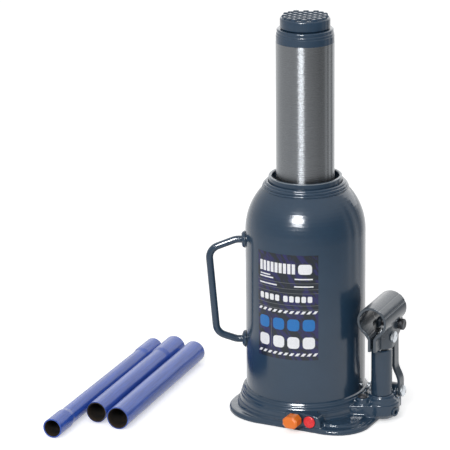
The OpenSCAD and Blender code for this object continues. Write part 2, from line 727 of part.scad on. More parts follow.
// The pressed socket: tube, keyhole throat, pinched lips and the cheeks round the plunger.
module lever_socket() {
    lip_out = 4;
    lip_in = 1.4;
    lip_top = socket_z - socket_r - 4.4;
    throat_in = socket_bore_r * [sin(38), -cos(38)];
    throat_out = (socket_r - 0.05) * [sin(56), -cos(56)];
    color("#41515f") translate([pump_x, 0, 0]) difference() {
        union() {
            translate([0, 0, socket_z]) rotate([socket_tilt, 0, 0])
                bar_y(socket_r, -socket_mouth, socket_len - socket_mouth, 0, 0);
            intersection() {
                linear_extrude(socket_z) cheek_plan(cheek_out);
                rotate([90, 0, 90]) linear_extrude(60, center = true) cheek_side();
            }
            translate([0, -cheek_in, 0]) rotate([90, 0, 0]) linear_extrude(socket_mouth - cheek_in - 0.6)
                polygon([[-throat_out[0], socket_z + throat_out[1]], [-lip_out, lip_top],
                         [-lip_out, pump_top + 3.4], [lip_out, pump_top + 3.4], [lip_out, lip_top],
                         [throat_out[0], socket_z + throat_out[1]]]);
        }
        translate([0, 0, socket_z]) rotate([socket_tilt, 0, 0]) {
            bar_y(socket_bore_r, -socket_mouth - 10, lever_depth - socket_mouth, 0, 0);
            bar_y(socket_bore_r + 0.3, lever_depth - socket_mouth, socket_len, 0, 0);
        }
        linear_extrude(socket_z) cheek_plan(cheek_in);
        translate([0, -1, 0]) rotate([90, 0, 0]) linear_extrude(40)
            polygon([[-throat_in[0], socket_z + throat_in[1]], [-lip_in, lip_top + 1.2], [-lip_in, 0],
                     [lip_in, 0], [lip_in, lip_top + 1.2], [throat_in[0], socket_z + throat_in[1]]]);
        bar_x(plunger_pin_d / 2 + seat, -20, 20, 0, plunger_pin_z);
        bar_x(upper_pin_d / 2 + seat, -20, 20, upper_pin_y, upper_pin_z);
    }
}

// A headed pin across the cheeks, with a clip groove at its left end.
module cheek_pin(d, y, z, shoulder) {
    r = d / 2;
    x_clip = pump_x - cheek_out - pin_reach;
    x_head = pump_x + cheek_out + seat + shoulder;
    bar_x(r, x_clip + 1.6, x_head, y, z);
    if (shoulder > 0) bar_x(r + 1, x_head - shoulder, x_head + eps, y, z);
    bar_x(r - 0.9, x_clip + 0.6, x_clip + 1.6 + eps, y, z);
    bar_x(r, x_clip, x_clip + 0.6 + eps, y, z);
    translate([x_head, y, z]) rotate([0, 90, 0]) rotate_extrude() polygon([
        [0, -eps], [5.4, -eps], [5.4, pin_reach - 0.8], [4.4, pin_reach], [0, pin_reach]]);
}

module plunger_pin() {
    color("#c9ccd0") cheek_pin(plunger_pin_d, 0, plunger_pin_z, 0);
}

module socket_pivot_pin() {
    color("#6b7076") cheek_pin(upper_pin_d, upper_pin_y, upper_pin_z, pivot_shoulder);
}

// Spring clips in the grooves of both pins.
module pin_clips() {
    x = pump_x - cheek_out - pin_reach + 0.65;
    color("#8b9094") for (p = [[0, plunger_pin_z, plunger_pin_d / 2],
                               [upper_pin_y, upper_pin_z, upper_pin_d / 2]])
        translate([x, p[0], p[1]]) rotate([0, 90, 0]) difference() {
            tube(p[2] - 0.9 + seat, p[2] + 1.9, 0, 0.9);
            translate([p[2] - 1.6, -1.2, -1]) cube([8, 2.4, 3]);
        }
}

// Side view of a link: a bar with round ends, a little wider than the bar, at its two pins.
module link_side(hole_top, hole_foot) {
    bar_w = link_w - 0.8;
    lean = atan2(upper_pin_y - lower_pin_y, link_span);
    run = norm([link_span, upper_pin_y - lower_pin_y]);
    difference() {
        union() {
            translate([upper_pin_y, upper_pin_z]) circle(r = link_w / 2);
            translate([lower_pin_y, lower_pin_z]) circle(r = link_w / 2);
            translate([lower_pin_y, lower_pin_z]) rotate(-lean)
                translate([-bar_w / 2, 0]) square([bar_w, run]);
        }
        translate([upper_pin_y, upper_pin_z]) circle(r = hole_top);
        translate([lower_pin_y, lower_pin_z]) circle(r = hole_foot);
    }
}

// One joggled link on the side s of the pump: close at the top, wide at the foot.
module link(s) {
    joggle = [for (i = [0:10]) [link_head_in + (link_foot_in - link_head_in) * (1 - cos(18 * i)) / 2,
                                joggle_top - (joggle_top - joggle_foot) * i / 10]];
    inner = concat([[link_head_in, 120]], joggle, [[link_foot_in, 0]]);
    color("#7f878e") translate([pump_x, 0, 0]) intersection() {
        rotate([90, 0, 90]) linear_extrude(60, center = true)
            link_side(upper_pin_d / 2 + clear, lower_pin_d / 2 + clear);
        translate([0, 60, 0]) rotate([90, 0, 0]) linear_extrude(120) polygon(concat(
            [for (p = inner) [s * p[0], p[1]]],
            [for (i = [len(inner) - 1:-1:0]) [s * (inner[i][0] + plate_t), inner[i][1] + 0.6]]));
    }
}

module link_left() {
    link(-1);
}

module link_right() {
    link(1);
}

module link_foot_pin() {
    r = lower_pin_d / 2 - clear;
    x_head = pump_x + link_foot_in + plate_t + 0.2;
    color("#b9bfc6") translate([0, lower_pin_y, lower_pin_z]) rotate([0, 90, 0]) rotate_extrude() polygon([
        [0, foot_pin_tail], [r - 1, foot_pin_tail], [r, foot_pin_tail + 1], [r, x_head], [5.5, x_head],
        [5.5, x_head + 1.6], [4.4, x_head + 2.4], [0, x_head + 2.4]]);
}

module link_foot_nut() {
    x1 = pump_x - link_foot_in - plate_t - 0.2;
    r = lower_pin_d / 2;
    color("#c9ccd0") translate([x1 - 4.2, lower_pin_y, lower_pin_z]) rotate([0, 90, 0]) difference() {
        cylinder(r = r + 2.4, h = 4.2, $fn = 6);
        translate([0, 0, -1]) cylinder(r = r - clear + seat, h = 7);
    }
}

// ---- release valve ----

module release_ball() {
    y = release_seat_y - sqrt(release_ball_r * release_ball_r - 1.75 * 1.75) - seat;
    color("#b8bcc0") translate([release_x, y, release_z]) sphere(r = release_ball_r, $fn = 32);
}

module release_spindle() {
    tip = -release_seat_y + sqrt(release_ball_r * release_ball_r - 1.75 * 1.75) + release_ball_r + 2 * seat;
    color("#8b9094") translate([release_x, 0, release_z]) rotate([90, 0, 0]) rotate_extrude() polygon([
        [0, tip], [2.2, tip], [3.2, tip + 1.4], [3.2, housing_y - 22 + 2], [5 - clear, housing_y - 22 + 3],
        [5 - clear, housing_y - 8], [3.4, housing_y - 8], [3.4, housing_y - 5.4],
        [5 - clear, housing_y - 5.4], [5 - clear, housing_y - 1], [4, housing_y],
        [4, housing_y + knob_gap + knob_len - 4], [0, housing_y + knob_gap + knob_len - 4]]);
}

module release_seal() {
    color("#202124") translate([release_x, 0, release_z]) rotate([90, 0, 0])
        tube(3.4 + seat, 5 - clear, housing_y - 8 + seat, housing_y - 5.4 - seat);
}

// The orange knob: a bar with cut corners, bevelled at its outer end.
module release_knob() {
    w = knob_w / 2;
    h = knob_h / 2;
    c = 3.2;
    y0 = housing_y + knob_gap;
    color("#ea7a1c") difference() {
        hull() for (e = [[0, 0.8], [0.8, 0], [knob_len - 1.6, 0], [knob_len, 1.4]])
            translate([release_x, -y0 - e[0], release_z]) rotate([90, 0, 0]) linear_extrude(eps)
                polygon([for (p = [[1, 1, 0], [1, 1, 1], [-1, 1, 1], [-1, 1, 0],
                                   [-1, -1, 0], [-1, -1, 1], [1, -1, 1], [1, -1, 0]])
                    [p[0] * (w - e[1] - (p[2] == 1 ? c : 0)), p[1] * (h - e[1] - (p[2] == 1 ? 0 : c))]]);
        bar_y(4 + seat, -y0 - knob_len + 4 - seat, -y0 + 1, release_x, release_z);
    }
}

// ---- overload valve ----

module overload_ball() {
    y = overload_seat_y - sqrt(ball_r * ball_r - 1.3 * 1.3) - seat;
    color("#b8bcc0") translate([overload_x, y, overload_z]) sphere(r = ball_r, $fn = 32);
}

module overload_spring() {
    from = -overload_seat_y + 2 * ball_r - 0.9;
    color("#8b9094") translate([overload_x, 0, overload_z]) rotate([90, 0, 0])
        coil_spring(2.2, 0.5, from, housing_y - 12, 5);
}

module overload_screw() {
    color("#8b9094") translate([overload_x, 0, overload_z]) rotate([90, 0, 0]) difference() {
        translate([0, 0, housing_y - 12 + seat]) cylinder(r = 3.4 - clear, h = 5.6);
        translate([0, 0, housing_y - 8]) cylinder(r = 1.8, h = 5, $fn = 6);
    }
}

module overload_cap() {
    r = cap_d / 2;
    color("#e23338") translate([overload_x, -housing_y, overload_z]) rotate([90, 0, 0]) rotate_extrude()
        polygon([[0, -5.4], [r - 1 - clear, -5.4], [r - 1 - clear, seat], [r, seat],
                 [r, 0.9], [r - 0.7, 1.5], [0, 1.6]]);
}

// ---- carry handle ----

module handle_bosses() {
    color("#41515f") difference() {
        for (z = [boss_upper_z, boss_lower_z])
            rotate([0, 0, 180 + handle_angle]) translate([0, 0, z]) rotate([0, 90, 0])
                rotate_extrude($fn = 48) polygon([[rod_d / 2 + clear, tank_r - 4], [boss_r, tank_r - 4],
                    [boss_r + 0.3, tank_r + boss_out - 2.6], [boss_r - 0.6, tank_r + boss_out - 1.2],
                    [boss_r - 2.4, tank_r + boss_out], [rod_d / 2 + clear, tank_r + boss_out]]);
        cylinder(r = tank_r + seat, h = 300, $fn = 128);
    }
}

// Corners of the handle's centre line, as distance from the ram axis and height.
handle_path = [[tank_r + 0.4, boss_upper_z], [tank_r + 9, boss_upper_z],
               [tank_r + grip_upper_out, boss_upper_z - 9.8], [tank_r + grip_lower_out, boss_lower_z + 6.6],
               [tank_r + 9, boss_lower_z], [tank_r + 0.4, boss_lower_z]];
handle_bends = [0, 14, grip_bend_r, grip_bend_r, 14, 0];

// Unit vector from a to b, the turn at corner i, and the length a bend takes off beside it.
function unit(a, b) = (b - a) / norm(b - a);
function turn(p, i) = let (u = unit(p[i - 1], p[i]), v = unit(p[i], p[i + 1]))
    atan2(u[0] * v[1] - u[1] * v[0], u * v);
function trim(p, r, i) = r[i] * tan(abs(turn(p, i)) / 2);

// Stations along the rod, each a point with its heading: the two ends, and steps round each bend.
function bend_stations(p, r, i, n) = let (u = unit(p[i - 1], p[i]), t = turn(p, i), s = sign(t),
        from = p[i] - u * trim(p, r, i), c = from + s * r[i] * [-u[1], u[0]], h = atan2(u[1], u[0]))
    [for (k = [0:n]) let (a = h + t * k / n) [c + s * r[i] * [sin(a), -cos(a)], a]];
function heading(a, b) = atan2(b[1] - a[1], b[0] - a[0]);

module carry_handle() {
    sides = 20;
    n = len(handle_path) - 1;
    stations = concat([[handle_path[0], heading(handle_path[0], handle_path[1])]],
        [for (i = [1:n - 1]) each bend_stations(handle_path, handle_bends, i, i == 1 || i == n - 1 ? 3 : 8)],
        [[handle_path[n], heading(handle_path[n - 1], handle_path[n])]]);
    m = len(stations);
    pts = [for (q = stations, k = [0:sides - 1]) let (b = k * 360 / sides, w = rod_d / 2 * cos(b))
        [q[0][0] - w * sin(q[1]), q[0][1] + w * cos(q[1]), rod_d / 2 * sin(b)]];
    walls = [for (i = [0:m - 2], k = [0:sides - 1]) let (j = (k + 1) % sides)
        [i * sides + k, (i + 1) * sides + k, (i + 1) * sides + j, i * sides + j]];
    ends = [[for (k = [0:sides - 1]) k], [for (k = [sides - 1:-1:0]) (m - 1) * sides + k]];
    color("#41515f") rotate([0, 0, 180 + handle_angle]) rotate([90, 0, 0])
        polyhedron(points = pts, faces = concat(walls, ends));
}

// ---- lever sections ----

// One lever tube on the floor: its near mouth at pos, turned by yaw, with belled ends.
module lever_tube(pos, yaw, d, length, bell_near, bell_far) {
    r = d / 2;
    rmax = r + (max(bell_near, bell_far) > 0 ? bell_rise : 0);
    rn = bell_near > 0 ? r + bell_rise : r;
    rf = bell_far > 0 ? r + bell_rise : r;
    steps = [[rn, 0], [rn, bell_near], [r, bell_near + 6], [r, length - bell_far - 6],
             [rf, length - bell_far], [rf, length]];
    wall = [for (i = [len(steps) - 1:-1:0]) [steps[i][0] - lever_wall, steps[i][1]]];
    translate([pos[0], pos[1], rmax]) rotate([0, 0, yaw]) rotate([-90, 0, 0])
        rotate_extrude() polygon(concat(steps, wall));
}

module lever_section_outer() {
    color("#2f4fa3") lever_tube([-lever_left, -lever_front], 5.3, lever_outer_d, lever_len, 0, 0);
}

module lever_section_middle() {
    color("#2f4fa3") lever_tube([-lever_left - middle_left, -lever_front + middle_back], 5.1, lever_middle_d, lever_len,
        0, bell_middle);
}

module lever_section_inner() {
    color("#2f4fa3") lever_tube([-lever_left - inner_left, -lever_front - inner_front], 4.5, lever_inner_d,
        lever_inner_len, bell_near_len, bell_far_len);
}

base_casting();
reservoir_tank();
pressure_cylinder();
cylinder_gasket();
tank_foot_seal();
cylinder_gland_nut();
ram_wiper();
filler_plug();
ram();
piston_seal();
ram_stop_sleeve();
extension_screw();
saddle();
pump_cylinder();
pump_gasket();
plunger_seal();
plunger();
inlet_check_ball();
delivery_check_ball();
delivery_spring();
delivery_plug();
feed_plug();
lever_socket();
plunger_pin();
socket_pivot_pin();
pin_clips();
link_left();
link_right();
link_foot_pin();
link_foot_nut();
release_spindle();
release_knob();
release_ball();
release_seal();
overload_ball();
overload_spring();
overload_screw();
overload_cap();
handle_bosses();
carry_handle();
lever_section_outer();
lever_section_middle();
lever_section_inner();
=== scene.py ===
"""The looks of a hydraulic bottle jack with its three loose lever sections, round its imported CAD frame.

Every length is in metres, in the frame of the CAD model: +Z up along the ram, +X towards the pump, -Y
towards the release knob. Each sub-assembly is a class: its fields are sizes, its methods make and dress
its pieces.
"""

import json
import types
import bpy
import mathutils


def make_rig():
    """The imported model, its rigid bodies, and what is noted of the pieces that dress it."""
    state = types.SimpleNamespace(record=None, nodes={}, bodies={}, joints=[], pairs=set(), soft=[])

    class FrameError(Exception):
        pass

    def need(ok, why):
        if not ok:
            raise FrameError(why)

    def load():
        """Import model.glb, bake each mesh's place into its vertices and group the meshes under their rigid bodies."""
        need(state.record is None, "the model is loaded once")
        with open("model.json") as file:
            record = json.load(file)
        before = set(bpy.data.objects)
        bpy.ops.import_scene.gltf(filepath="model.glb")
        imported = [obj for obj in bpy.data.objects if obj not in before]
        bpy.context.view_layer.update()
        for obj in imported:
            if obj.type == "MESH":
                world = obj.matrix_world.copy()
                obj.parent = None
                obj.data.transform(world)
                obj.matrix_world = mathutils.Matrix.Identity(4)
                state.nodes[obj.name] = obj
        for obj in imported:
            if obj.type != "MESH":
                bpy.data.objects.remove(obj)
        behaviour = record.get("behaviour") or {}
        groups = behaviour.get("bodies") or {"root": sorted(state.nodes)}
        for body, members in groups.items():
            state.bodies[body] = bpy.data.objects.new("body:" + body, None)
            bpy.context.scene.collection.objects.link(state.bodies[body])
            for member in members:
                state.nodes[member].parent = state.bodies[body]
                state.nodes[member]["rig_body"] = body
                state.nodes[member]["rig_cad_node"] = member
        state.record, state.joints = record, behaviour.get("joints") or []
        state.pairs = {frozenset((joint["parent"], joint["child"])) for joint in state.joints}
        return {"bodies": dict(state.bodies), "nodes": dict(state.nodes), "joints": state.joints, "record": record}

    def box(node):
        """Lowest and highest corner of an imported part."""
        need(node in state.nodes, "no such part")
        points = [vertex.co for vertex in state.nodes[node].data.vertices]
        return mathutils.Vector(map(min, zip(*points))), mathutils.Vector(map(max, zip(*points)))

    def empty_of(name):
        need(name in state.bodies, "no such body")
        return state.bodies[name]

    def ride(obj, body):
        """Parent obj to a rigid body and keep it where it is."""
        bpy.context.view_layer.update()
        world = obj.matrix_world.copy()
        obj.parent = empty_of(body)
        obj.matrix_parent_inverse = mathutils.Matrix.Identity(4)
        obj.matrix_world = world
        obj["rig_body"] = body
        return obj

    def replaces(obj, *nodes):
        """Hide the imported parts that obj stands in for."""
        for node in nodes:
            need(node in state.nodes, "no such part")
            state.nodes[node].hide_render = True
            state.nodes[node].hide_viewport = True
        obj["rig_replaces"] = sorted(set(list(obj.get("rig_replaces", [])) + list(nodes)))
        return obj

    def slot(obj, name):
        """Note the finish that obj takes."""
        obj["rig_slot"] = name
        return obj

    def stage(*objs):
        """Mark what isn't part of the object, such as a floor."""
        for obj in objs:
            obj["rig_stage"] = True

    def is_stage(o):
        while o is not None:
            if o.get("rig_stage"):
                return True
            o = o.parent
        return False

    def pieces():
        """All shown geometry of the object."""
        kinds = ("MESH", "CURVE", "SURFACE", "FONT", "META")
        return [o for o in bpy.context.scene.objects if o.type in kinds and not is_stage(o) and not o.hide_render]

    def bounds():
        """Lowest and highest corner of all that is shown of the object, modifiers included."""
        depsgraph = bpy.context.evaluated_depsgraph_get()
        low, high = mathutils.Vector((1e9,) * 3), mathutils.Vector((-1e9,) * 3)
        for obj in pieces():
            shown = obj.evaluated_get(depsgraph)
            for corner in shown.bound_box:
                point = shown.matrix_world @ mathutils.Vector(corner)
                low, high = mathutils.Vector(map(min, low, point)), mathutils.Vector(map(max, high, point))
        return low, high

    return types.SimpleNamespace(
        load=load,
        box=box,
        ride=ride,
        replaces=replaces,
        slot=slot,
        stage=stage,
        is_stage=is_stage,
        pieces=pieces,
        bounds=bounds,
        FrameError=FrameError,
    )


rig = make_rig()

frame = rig.load()

import json
import logging
import math
from collections.abc import Iterator
from contextlib import contextmanager
from dataclasses import dataclass, field
from enum import Enum

import bpy
from mathutils import Matrix, Vector
from mathutils.bvhtree import BVHTree

LOG = logging.getLogger("bottle_jack")
MM = 0.001
WELD = 0.000002  # points nearer than this become one
FLAT = math.radians(0.3)  # faces whose turn is less than this become one
ARC_STEP = 15  # degrees between the points of a turned outline's arcs
Colour = tuple[float, float, float]

# Places in the photograph's frame, in pixels: edges as one number, features as x and y.
PHOTO_SIZE = (450, 450)
IMAGE_POINTS = {
    "object_left": 43.8,
    "object_right": 405.6,
    "object_top": 12.6,
    "object_bottom": 435.9,
    "knob": (291.0, 422.6),
    "overload_cap": (309.1, 422.6),
    "plunger_pin_head": (395.2, 336.9),
    "socket_pivot_head": (401.7, 324.2),
    "foot_pin_head": (404.5, 391.0),
    "column_plug": (362.8, 394.5),
    "label_upper_left": (258.4, 249.0),
    "label_lower_right": (318.4, 360.0),
}


class Slot(Enum):
    """The record's material slots."""

    SLATE = "slate_paint"
    DARK = "dark_paint"
    RAM = "ram_steel"
    TURNED = "turned_steel"
    BLUED = "blued_steel"
    ZINC = "zinc_plate"
    DARK_PIN = "dark_pin_steel"
    LINK = "link_steel"
    BALL = "ball_steel"
    COPPER = "copper"
    RUBBER = "black_rubber"
    AMBER = "seal_amber"
    ORANGE = "orange_knob"
    RED = "red_cap"
    BLUE = "blue_paint"


# ---------------------------------------------------------------- node trees


class Tree:
    """Short calls for the shader nodes that the finishes and the studio share."""

    def __init__(self, tree: bpy.types.NodeTree) -> None:
        """Takes a node tree to add to.

        Args:
            tree: The node tree.
        """
        self.tree = tree
        self.coords = self.add("ShaderNodeTexCoord").outputs

    def add(self, kind: str, **settings: object) -> bpy.types.Node:
        """Adds a node and sets its attributes.

        Args:
            kind: The node's class name.
            settings: Attributes to set on it.

        Returns:
            The new node.
        """
        node = self.tree.nodes.new(kind)
        for key, value in settings.items():
            setattr(node, key, value)
        return node

    def feed(self, socket: bpy.types.NodeSocket, value: object) -> None:
        """Links a socket to an output, or sets its own value.

        Args:
            socket: The input to feed.
            value: An output socket, or a plain value.
        """
        if isinstance(value, bpy.types.NodeSocket):
            self.tree.links.new(value, socket)
        else:
            socket.default_value = value

    def place(self, source: bpy.types.NodeSocket, scale: tuple = (1, 1, 1), turn: tuple = (0, 0, 0),
              move: tuple = (0, 0, 0)) -> bpy.types.NodeSocket:
        """Scales, turns and moves coordinates.

        Args:
            source: The coordinates.
            scale: Factor on each axis.
            turn: Turn about each axis, in radians.
            move: Shift along each axis, after the turn.

        Returns:
            The changed coordinates.
        """
        node = self.add("ShaderNodeMapping", vector_type="POINT")
        self.feed(node.inputs["Vector"], source)
        node.inputs["Scale"].default_value = scale
        node.inputs["Rotation"].default_value = turn
        node.inputs["Location"].default_value = move
        return node.outputs[0]

    def noise(self, source: bpy.types.NodeSocket, scale: float, detail: float = 3.0,
              roughness: float = 0.5) -> bpy.types.NodeSocket:
        """Adds a noise pattern.

        Args:
            source: The coordinates that it follows.
            scale: Its spots per metre.
            detail: How many finer layers it has.
            roughness: The strength of those layers.

        Returns:
            The pattern, from 0 to 1.
        """
        node = self.add("ShaderNodeTexNoise")
        self.feed(node.inputs["Vector"], source)
        node.inputs["Scale"].default_value = scale
        node.inputs["Detail"].default_value = detail
        node.inputs["Roughness"].default_value = roughness
        return node.outputs["Fac"]

    def calc(self, operation: str, first: object, second: object = 0.0) -> bpy.types.NodeSocket:
        """Adds a Math node.

        Args:
            operation: The node's operation.
            first: Its first input.
            second: Its second input.

        Returns:
            The result.
        """
        node = self.add("ShaderNodeMath", operation=operation)
        self.feed(node.inputs[0], first)
        self.feed(node.inputs[1], second)
        return node.outputs[0]

    def vector(self, operation: str, first: object, second: tuple = (0, 0, 0)) -> bpy.types.Node:
        """Adds a Vector Math node.

        Args:
            operation: The node's operation.
            first: Its first input.
            second: Its second input.

        Returns:
            The node, whose outputs are Vector and Value.
        """
        node = self.add("ShaderNodeVectorMath", operation=operation)
        self.feed(node.inputs[0], first)
        self.feed(node.inputs[1], second)
        return node

    def split(self, source: bpy.types.NodeSocket) -> bpy.types.bpy_prop_collection:
        """Takes coordinates apart.

        Args:
            source: The coordinates.

        Returns:
            The outputs X, Y and Z.
        """
        node = self.add("ShaderNodeSeparateXYZ")
        self.feed(node.inputs[0], source)
        return node.outputs

    def spread(self, value: bpy.types.NodeSocket, low: float, high: float, to_low: float,
               to_high: float, shape: str = "LINEAR") -> bpy.types.NodeSocket:
        """Maps a value's range to another, with both ends held.

        Args:
            value: The value.
            low: Where its range starts.
            high: Where its range ends.
            to_low: The result at the start.
            to_high: The result at the end.
            shape: The node's interpolation.

        Returns:
            The mapped value.
        """
        node = self.add("ShaderNodeMapRange", interpolation_type=shape)
        for key, number in (("Value", value), ("From Min", low), ("From Max", high),
                            ("To Min", to_low), ("To Max", to_high)):
            self.feed(node.inputs[key], number)
        return node.outputs[0]

    def mix(self, share: object, first: object, second: object) -> bpy.types.NodeSocket:
        """Mixes two colours.

        Args:
            share: How much of the second colour shows.
            first: The first colour, or an output.
            second: The second colour, or an output.

        Returns:
            The mixed colour.
        """
        node = self.add("ShaderNodeMix", data_type="RGBA")
        self.feed(node.inputs["Factor"], share)
        for key, value in ((6, first), (7, second)):
            self.feed(node.inputs[key], (*value, 1) if isinstance(value, tuple) else value)
        return node.outputs[2]

    def blend(self, share: object, first: object, second: object) -> bpy.types.NodeSocket:
        """Mixes two numbers.

        Args:
            share: How much of the second number counts.
            first: The first number, or an output.
            second: The second number, or an output.

        Returns:
            The mixed number.
        """
        node = self.add("ShaderNodeMix")
        for key, value in ((0, share), (2, first), (3, second)):
            self.feed(node.inputs[key], value)
        return node.outputs[0]

    def bump(self, height: bpy.types.NodeSocket, depth: float, strength: float = 1.0,
             under: bpy.types.NodeSocket | None = None) -> bpy.types.NodeSocket:
        """Adds a bump.

        Args:
            height: The pattern of its height.
            depth: Its depth in metres.
            strength: How much of it shows.
            under: A bump that it lies on.

        Returns:
            The changed normal.
        """
        node = self.add("ShaderNodeBump")
        node.inputs["Distance"].default_value = depth
        node.inputs["Strength"].default_value = strength
        self.feed(node.inputs["Height"], height)
        if under is not None:
            self.feed(node.inputs["Normal"], under)
        return node.outputs[0]


class Surface(Tree):
    """A material under construction, with its Principled shader."""

    def __init__(self, name: str) -> None:
        """Starts an empty material.

        Args:
            name: The material's name.
        """
        self.material = bpy.data.materials.new(name)
        self.material.use_nodes = True
        super().__init__(self.material.node_tree)
        self.shader = self.tree.nodes["Principled BSDF"]

    def set(self, **values: object) -> None:
        """Feeds the Principled shader's sockets, with underscores for the spaces in their names.

        Args:
            values: A plain value or an output socket for each.
        """
        for key, value in values.items():
            self.feed(self.shader.inputs[key.replace("_", " ")], value)


# ---------------------------------------------------------------- finishes


def shade(colour: Colour, factor: float) -> Colour:
    """Makes a colour lighter or darker.

    Args:
        colour: The colour, linear.
        factor: What each part is multiplied by.

    Returns:
        The changed colour.
    """
    return tuple(min(1.0, part * factor) for part in colour)


@dataclass(frozen=True)
class GlossPaint:
    """Sprayed gloss paint over a casting or over drawn sheet.

    Attributes:
        name: The material's name.
        colour: The paint, linear.
        roughness: Its gloss.
        peel: Depth of its orange peel.
        shine: How strongly it mirrors, where 0.5 is plain paint.
    """

    name: str
    colour: Colour
    roughness: float = 0.16
    peel: float = 0.00003
    shine: float = 0.5

    def material(self) -> bpy.types.Material:
        """Returns the paint's material."""
        s = Surface(self.name)
        at = s.coords["Object"]
        drift = s.noise(at, 22, 4, 0.6)
        tone = s.mix(s.spread(drift, 0.3, 0.7, 0, 1), shade(self.colour, 0.93), shade(self.colour, 1.07))
        normal = s.bump(s.noise(at, 700, 2), self.peel)
        gloss = s.spread(s.noise(at, 60, 5, 0.6), 0.3, 0.7, self.roughness * 0.85, self.roughness * 1.3)
        s.set(Base_Color=tone, Roughness=gloss, Normal=normal, Specular_IOR_Level=self.shine, IOR=1.5)
        return s.material


@dataclass(frozen=True)
class TurnedSteel:
    """Bare steel, ground or turned round the Z axis.

    Attributes:
        name: The material's name.
        colour: The metal, linear.
        roughness: Its gloss.
        anisotropy: How far the turning marks stretch a highlight along the axis.
        rings: Depth of the turning marks.
        stain: How strongly oil and handling darken it.
        patchy: How much its gloss changes from mark to mark.
    """

    name: str
    colour: Colour
    roughness: float = 0.3
    anisotropy: float = 0.0
    rings: float = 0.000004
    stain: float = 0.15
    patchy: float = 1.0

    def material(self) -> bpy.types.Material:
        """Returns the steel's material."""
        s = Surface(self.name)
        at = s.coords["Object"]
        marks = s.noise(s.place(at, scale=(1, 1, 60)), 60, 4, 0.6)
        cloud = s.noise(at, 35, 5, 0.65)
        tone = s.mix(s.spread(cloud, 0.35, 0.75, 0, self.stain), self.colour, shade(self.colour, 0.55))
        tone = s.mix(s.spread(marks, 0.3, 0.7, 0, 0.25), tone, shade(self.colour, 0.8))
        gloss = s.spread(marks, 0.3, 0.7, self.roughness * (1 - 0.15 * self.patchy),
                         self.roughness * (1 + 0.2 * self.patchy))
        s.set(Base_Color=tone, Metallic=1.0, Roughness=gloss, Normal=s.bump(marks, self.rings))
        if self.anisotropy > 0:
            tangent = s.add("ShaderNodeTangent", direction_type="RADIAL", axis="Z")
            s.set(Anisotropic=self.anisotropy, Anisotropic_Rotation=0.25, Tangent=tangent.outputs[0])
        return s.material


@dataclass(frozen=True)
class PlainSteel:
    """Plated, blued or rusted steel without turning marks.

    Attributes:
        name: The material's name.
        colour: The metal, linear.
        tarnish: The colour of its stains, linear.
        roughness: Its gloss.
        amount: How much of it is stained.
    """

    name: str
    colour: Colour
    tarnish: Colour
    roughness: float = 0.3
    amount: float = 0.3

    def material(self) -> bpy.types.Material:
        """Returns the metal's material."""
        s = Surface(self.name)
        at = s.coords["Object"]
        spots = s.noise(at, 260, 5, 0.65)
        share = s.spread(spots, 0.62 - self.amount * 0.35, 0.72, 0, 1)
        gloss = s.spread(share, 0, 1, self.roughness, min(0.8, self.roughness + 0.3))
        s.set(Base_Color=s.mix(share, self.colour, self.tarnish), Metallic=0.9, Roughness=gloss,
              Normal=s.bump(spots, 0.00002))
        return s.material


@dataclass(frozen=True)
class Moulded:
    """Moulded plastic or rubber.

    Attributes:
        name: The material's name.
        colour: The material's colour, linear.
        roughness: Its gloss.
        grain: Depth of its fine grain.
        glow: How far light goes into it.
    """

    name: str
    colour: Colour
    roughness: float = 0.35
    grain: float = 0.00002
    glow: float = 0.0

    def material(self) -> bpy.types.Material:
        """Returns the plastic's material."""
        s = Surface(self.name)
        at = s.coords["Object"]
        tone = s.mix(s.noise(at, 90, 3), shade(self.colour, 0.94), shade(self.colour, 1.05))
        gloss = s.spread(s.noise(at, 300, 3), 0.3, 0.7, self.roughness * 0.85, self.roughness * 1.2)
        s.set(Base_Color=tone, Roughness=gloss, Normal=s.bump(s.noise(at, 1200, 2), self.grain))
        if self.glow > 0:
            s.set(Subsurface_Weight=self.glow, Subsurface_Radius=(0.002, 0.0008, 0.0004),
                  Subsurface_Scale=1.0)
        return s.material


@dataclass(frozen=True)
class TubePaint:
    """Gloss paint on a lever tube, with bare, rusty steel inside that is darkened to near black as painted shade.

    Attributes:
        name: The material's name.
        colour: The paint, linear.
        mouth: A point on the tube's axis.
        yaw: The tube's turn about Z from +Y, in radians.
        reach: Distance from the axis within which the tube is bare steel, darkened with painted shade.
        bare: The steel inside, linear; its near-black is painted shade.
        rust: The rust on it, linear.
        shine: How strongly the paint mirrors, where 0.5 is plain paint.
    """

    name: str
    colour: Colour
    mouth: tuple[float, float, float]
    yaw: float
    reach: float
    bare: Colour = (0.008, 0.008, 0.010)
    rust: Colour = (0.035, 0.022, 0.012)
    shine: float = 0.34

    def material(self) -> bpy.types.Material:
        """Returns the tube's material."""
        s = Surface(self.name)
        own = s.vector("SUBTRACT", s.coords["Object"], self.mouth).outputs[0]
        own = s.place(own, turn=(0, 0, -self.yaw))
        off_axis = s.vector("MULTIPLY", own, (1, 0, 1)).outputs[0]
        away = s.vector("LENGTH", off_axis).outputs["Value"]
        inside = s.calc("LESS_THAN", away, self.reach)
        streak = s.noise(s.place(own, scale=(1, 0.05, 1)), 420, 3, 0.6)
        dents = s.noise(s.place(own, scale=(1, 0.18, 1)), 60, 2, 0.5)
        tone = s.mix(s.spread(streak, 0.35, 0.7, 0, 1), shade(self.colour, 0.82), shade(self.colour, 1.16))
        deep = s.spread(s.noise(own, 120, 4), 0.35, 0.7, 0, 1)
        # Inside the tube: rust patches on steel whose near-black colour is painted shade.
        bare = s.mix(deep, self.bare, self.rust)
        normal = s.bump(dents, 0.0006, under=s.bump(streak, 0.00003))
        s.set(Base_Color=s.mix(inside, tone, bare), Roughness=s.spread(inside, 0, 1, 0.22, 0.7),
              Normal=normal, Specular_IOR_Level=self.shine)
        return s.material


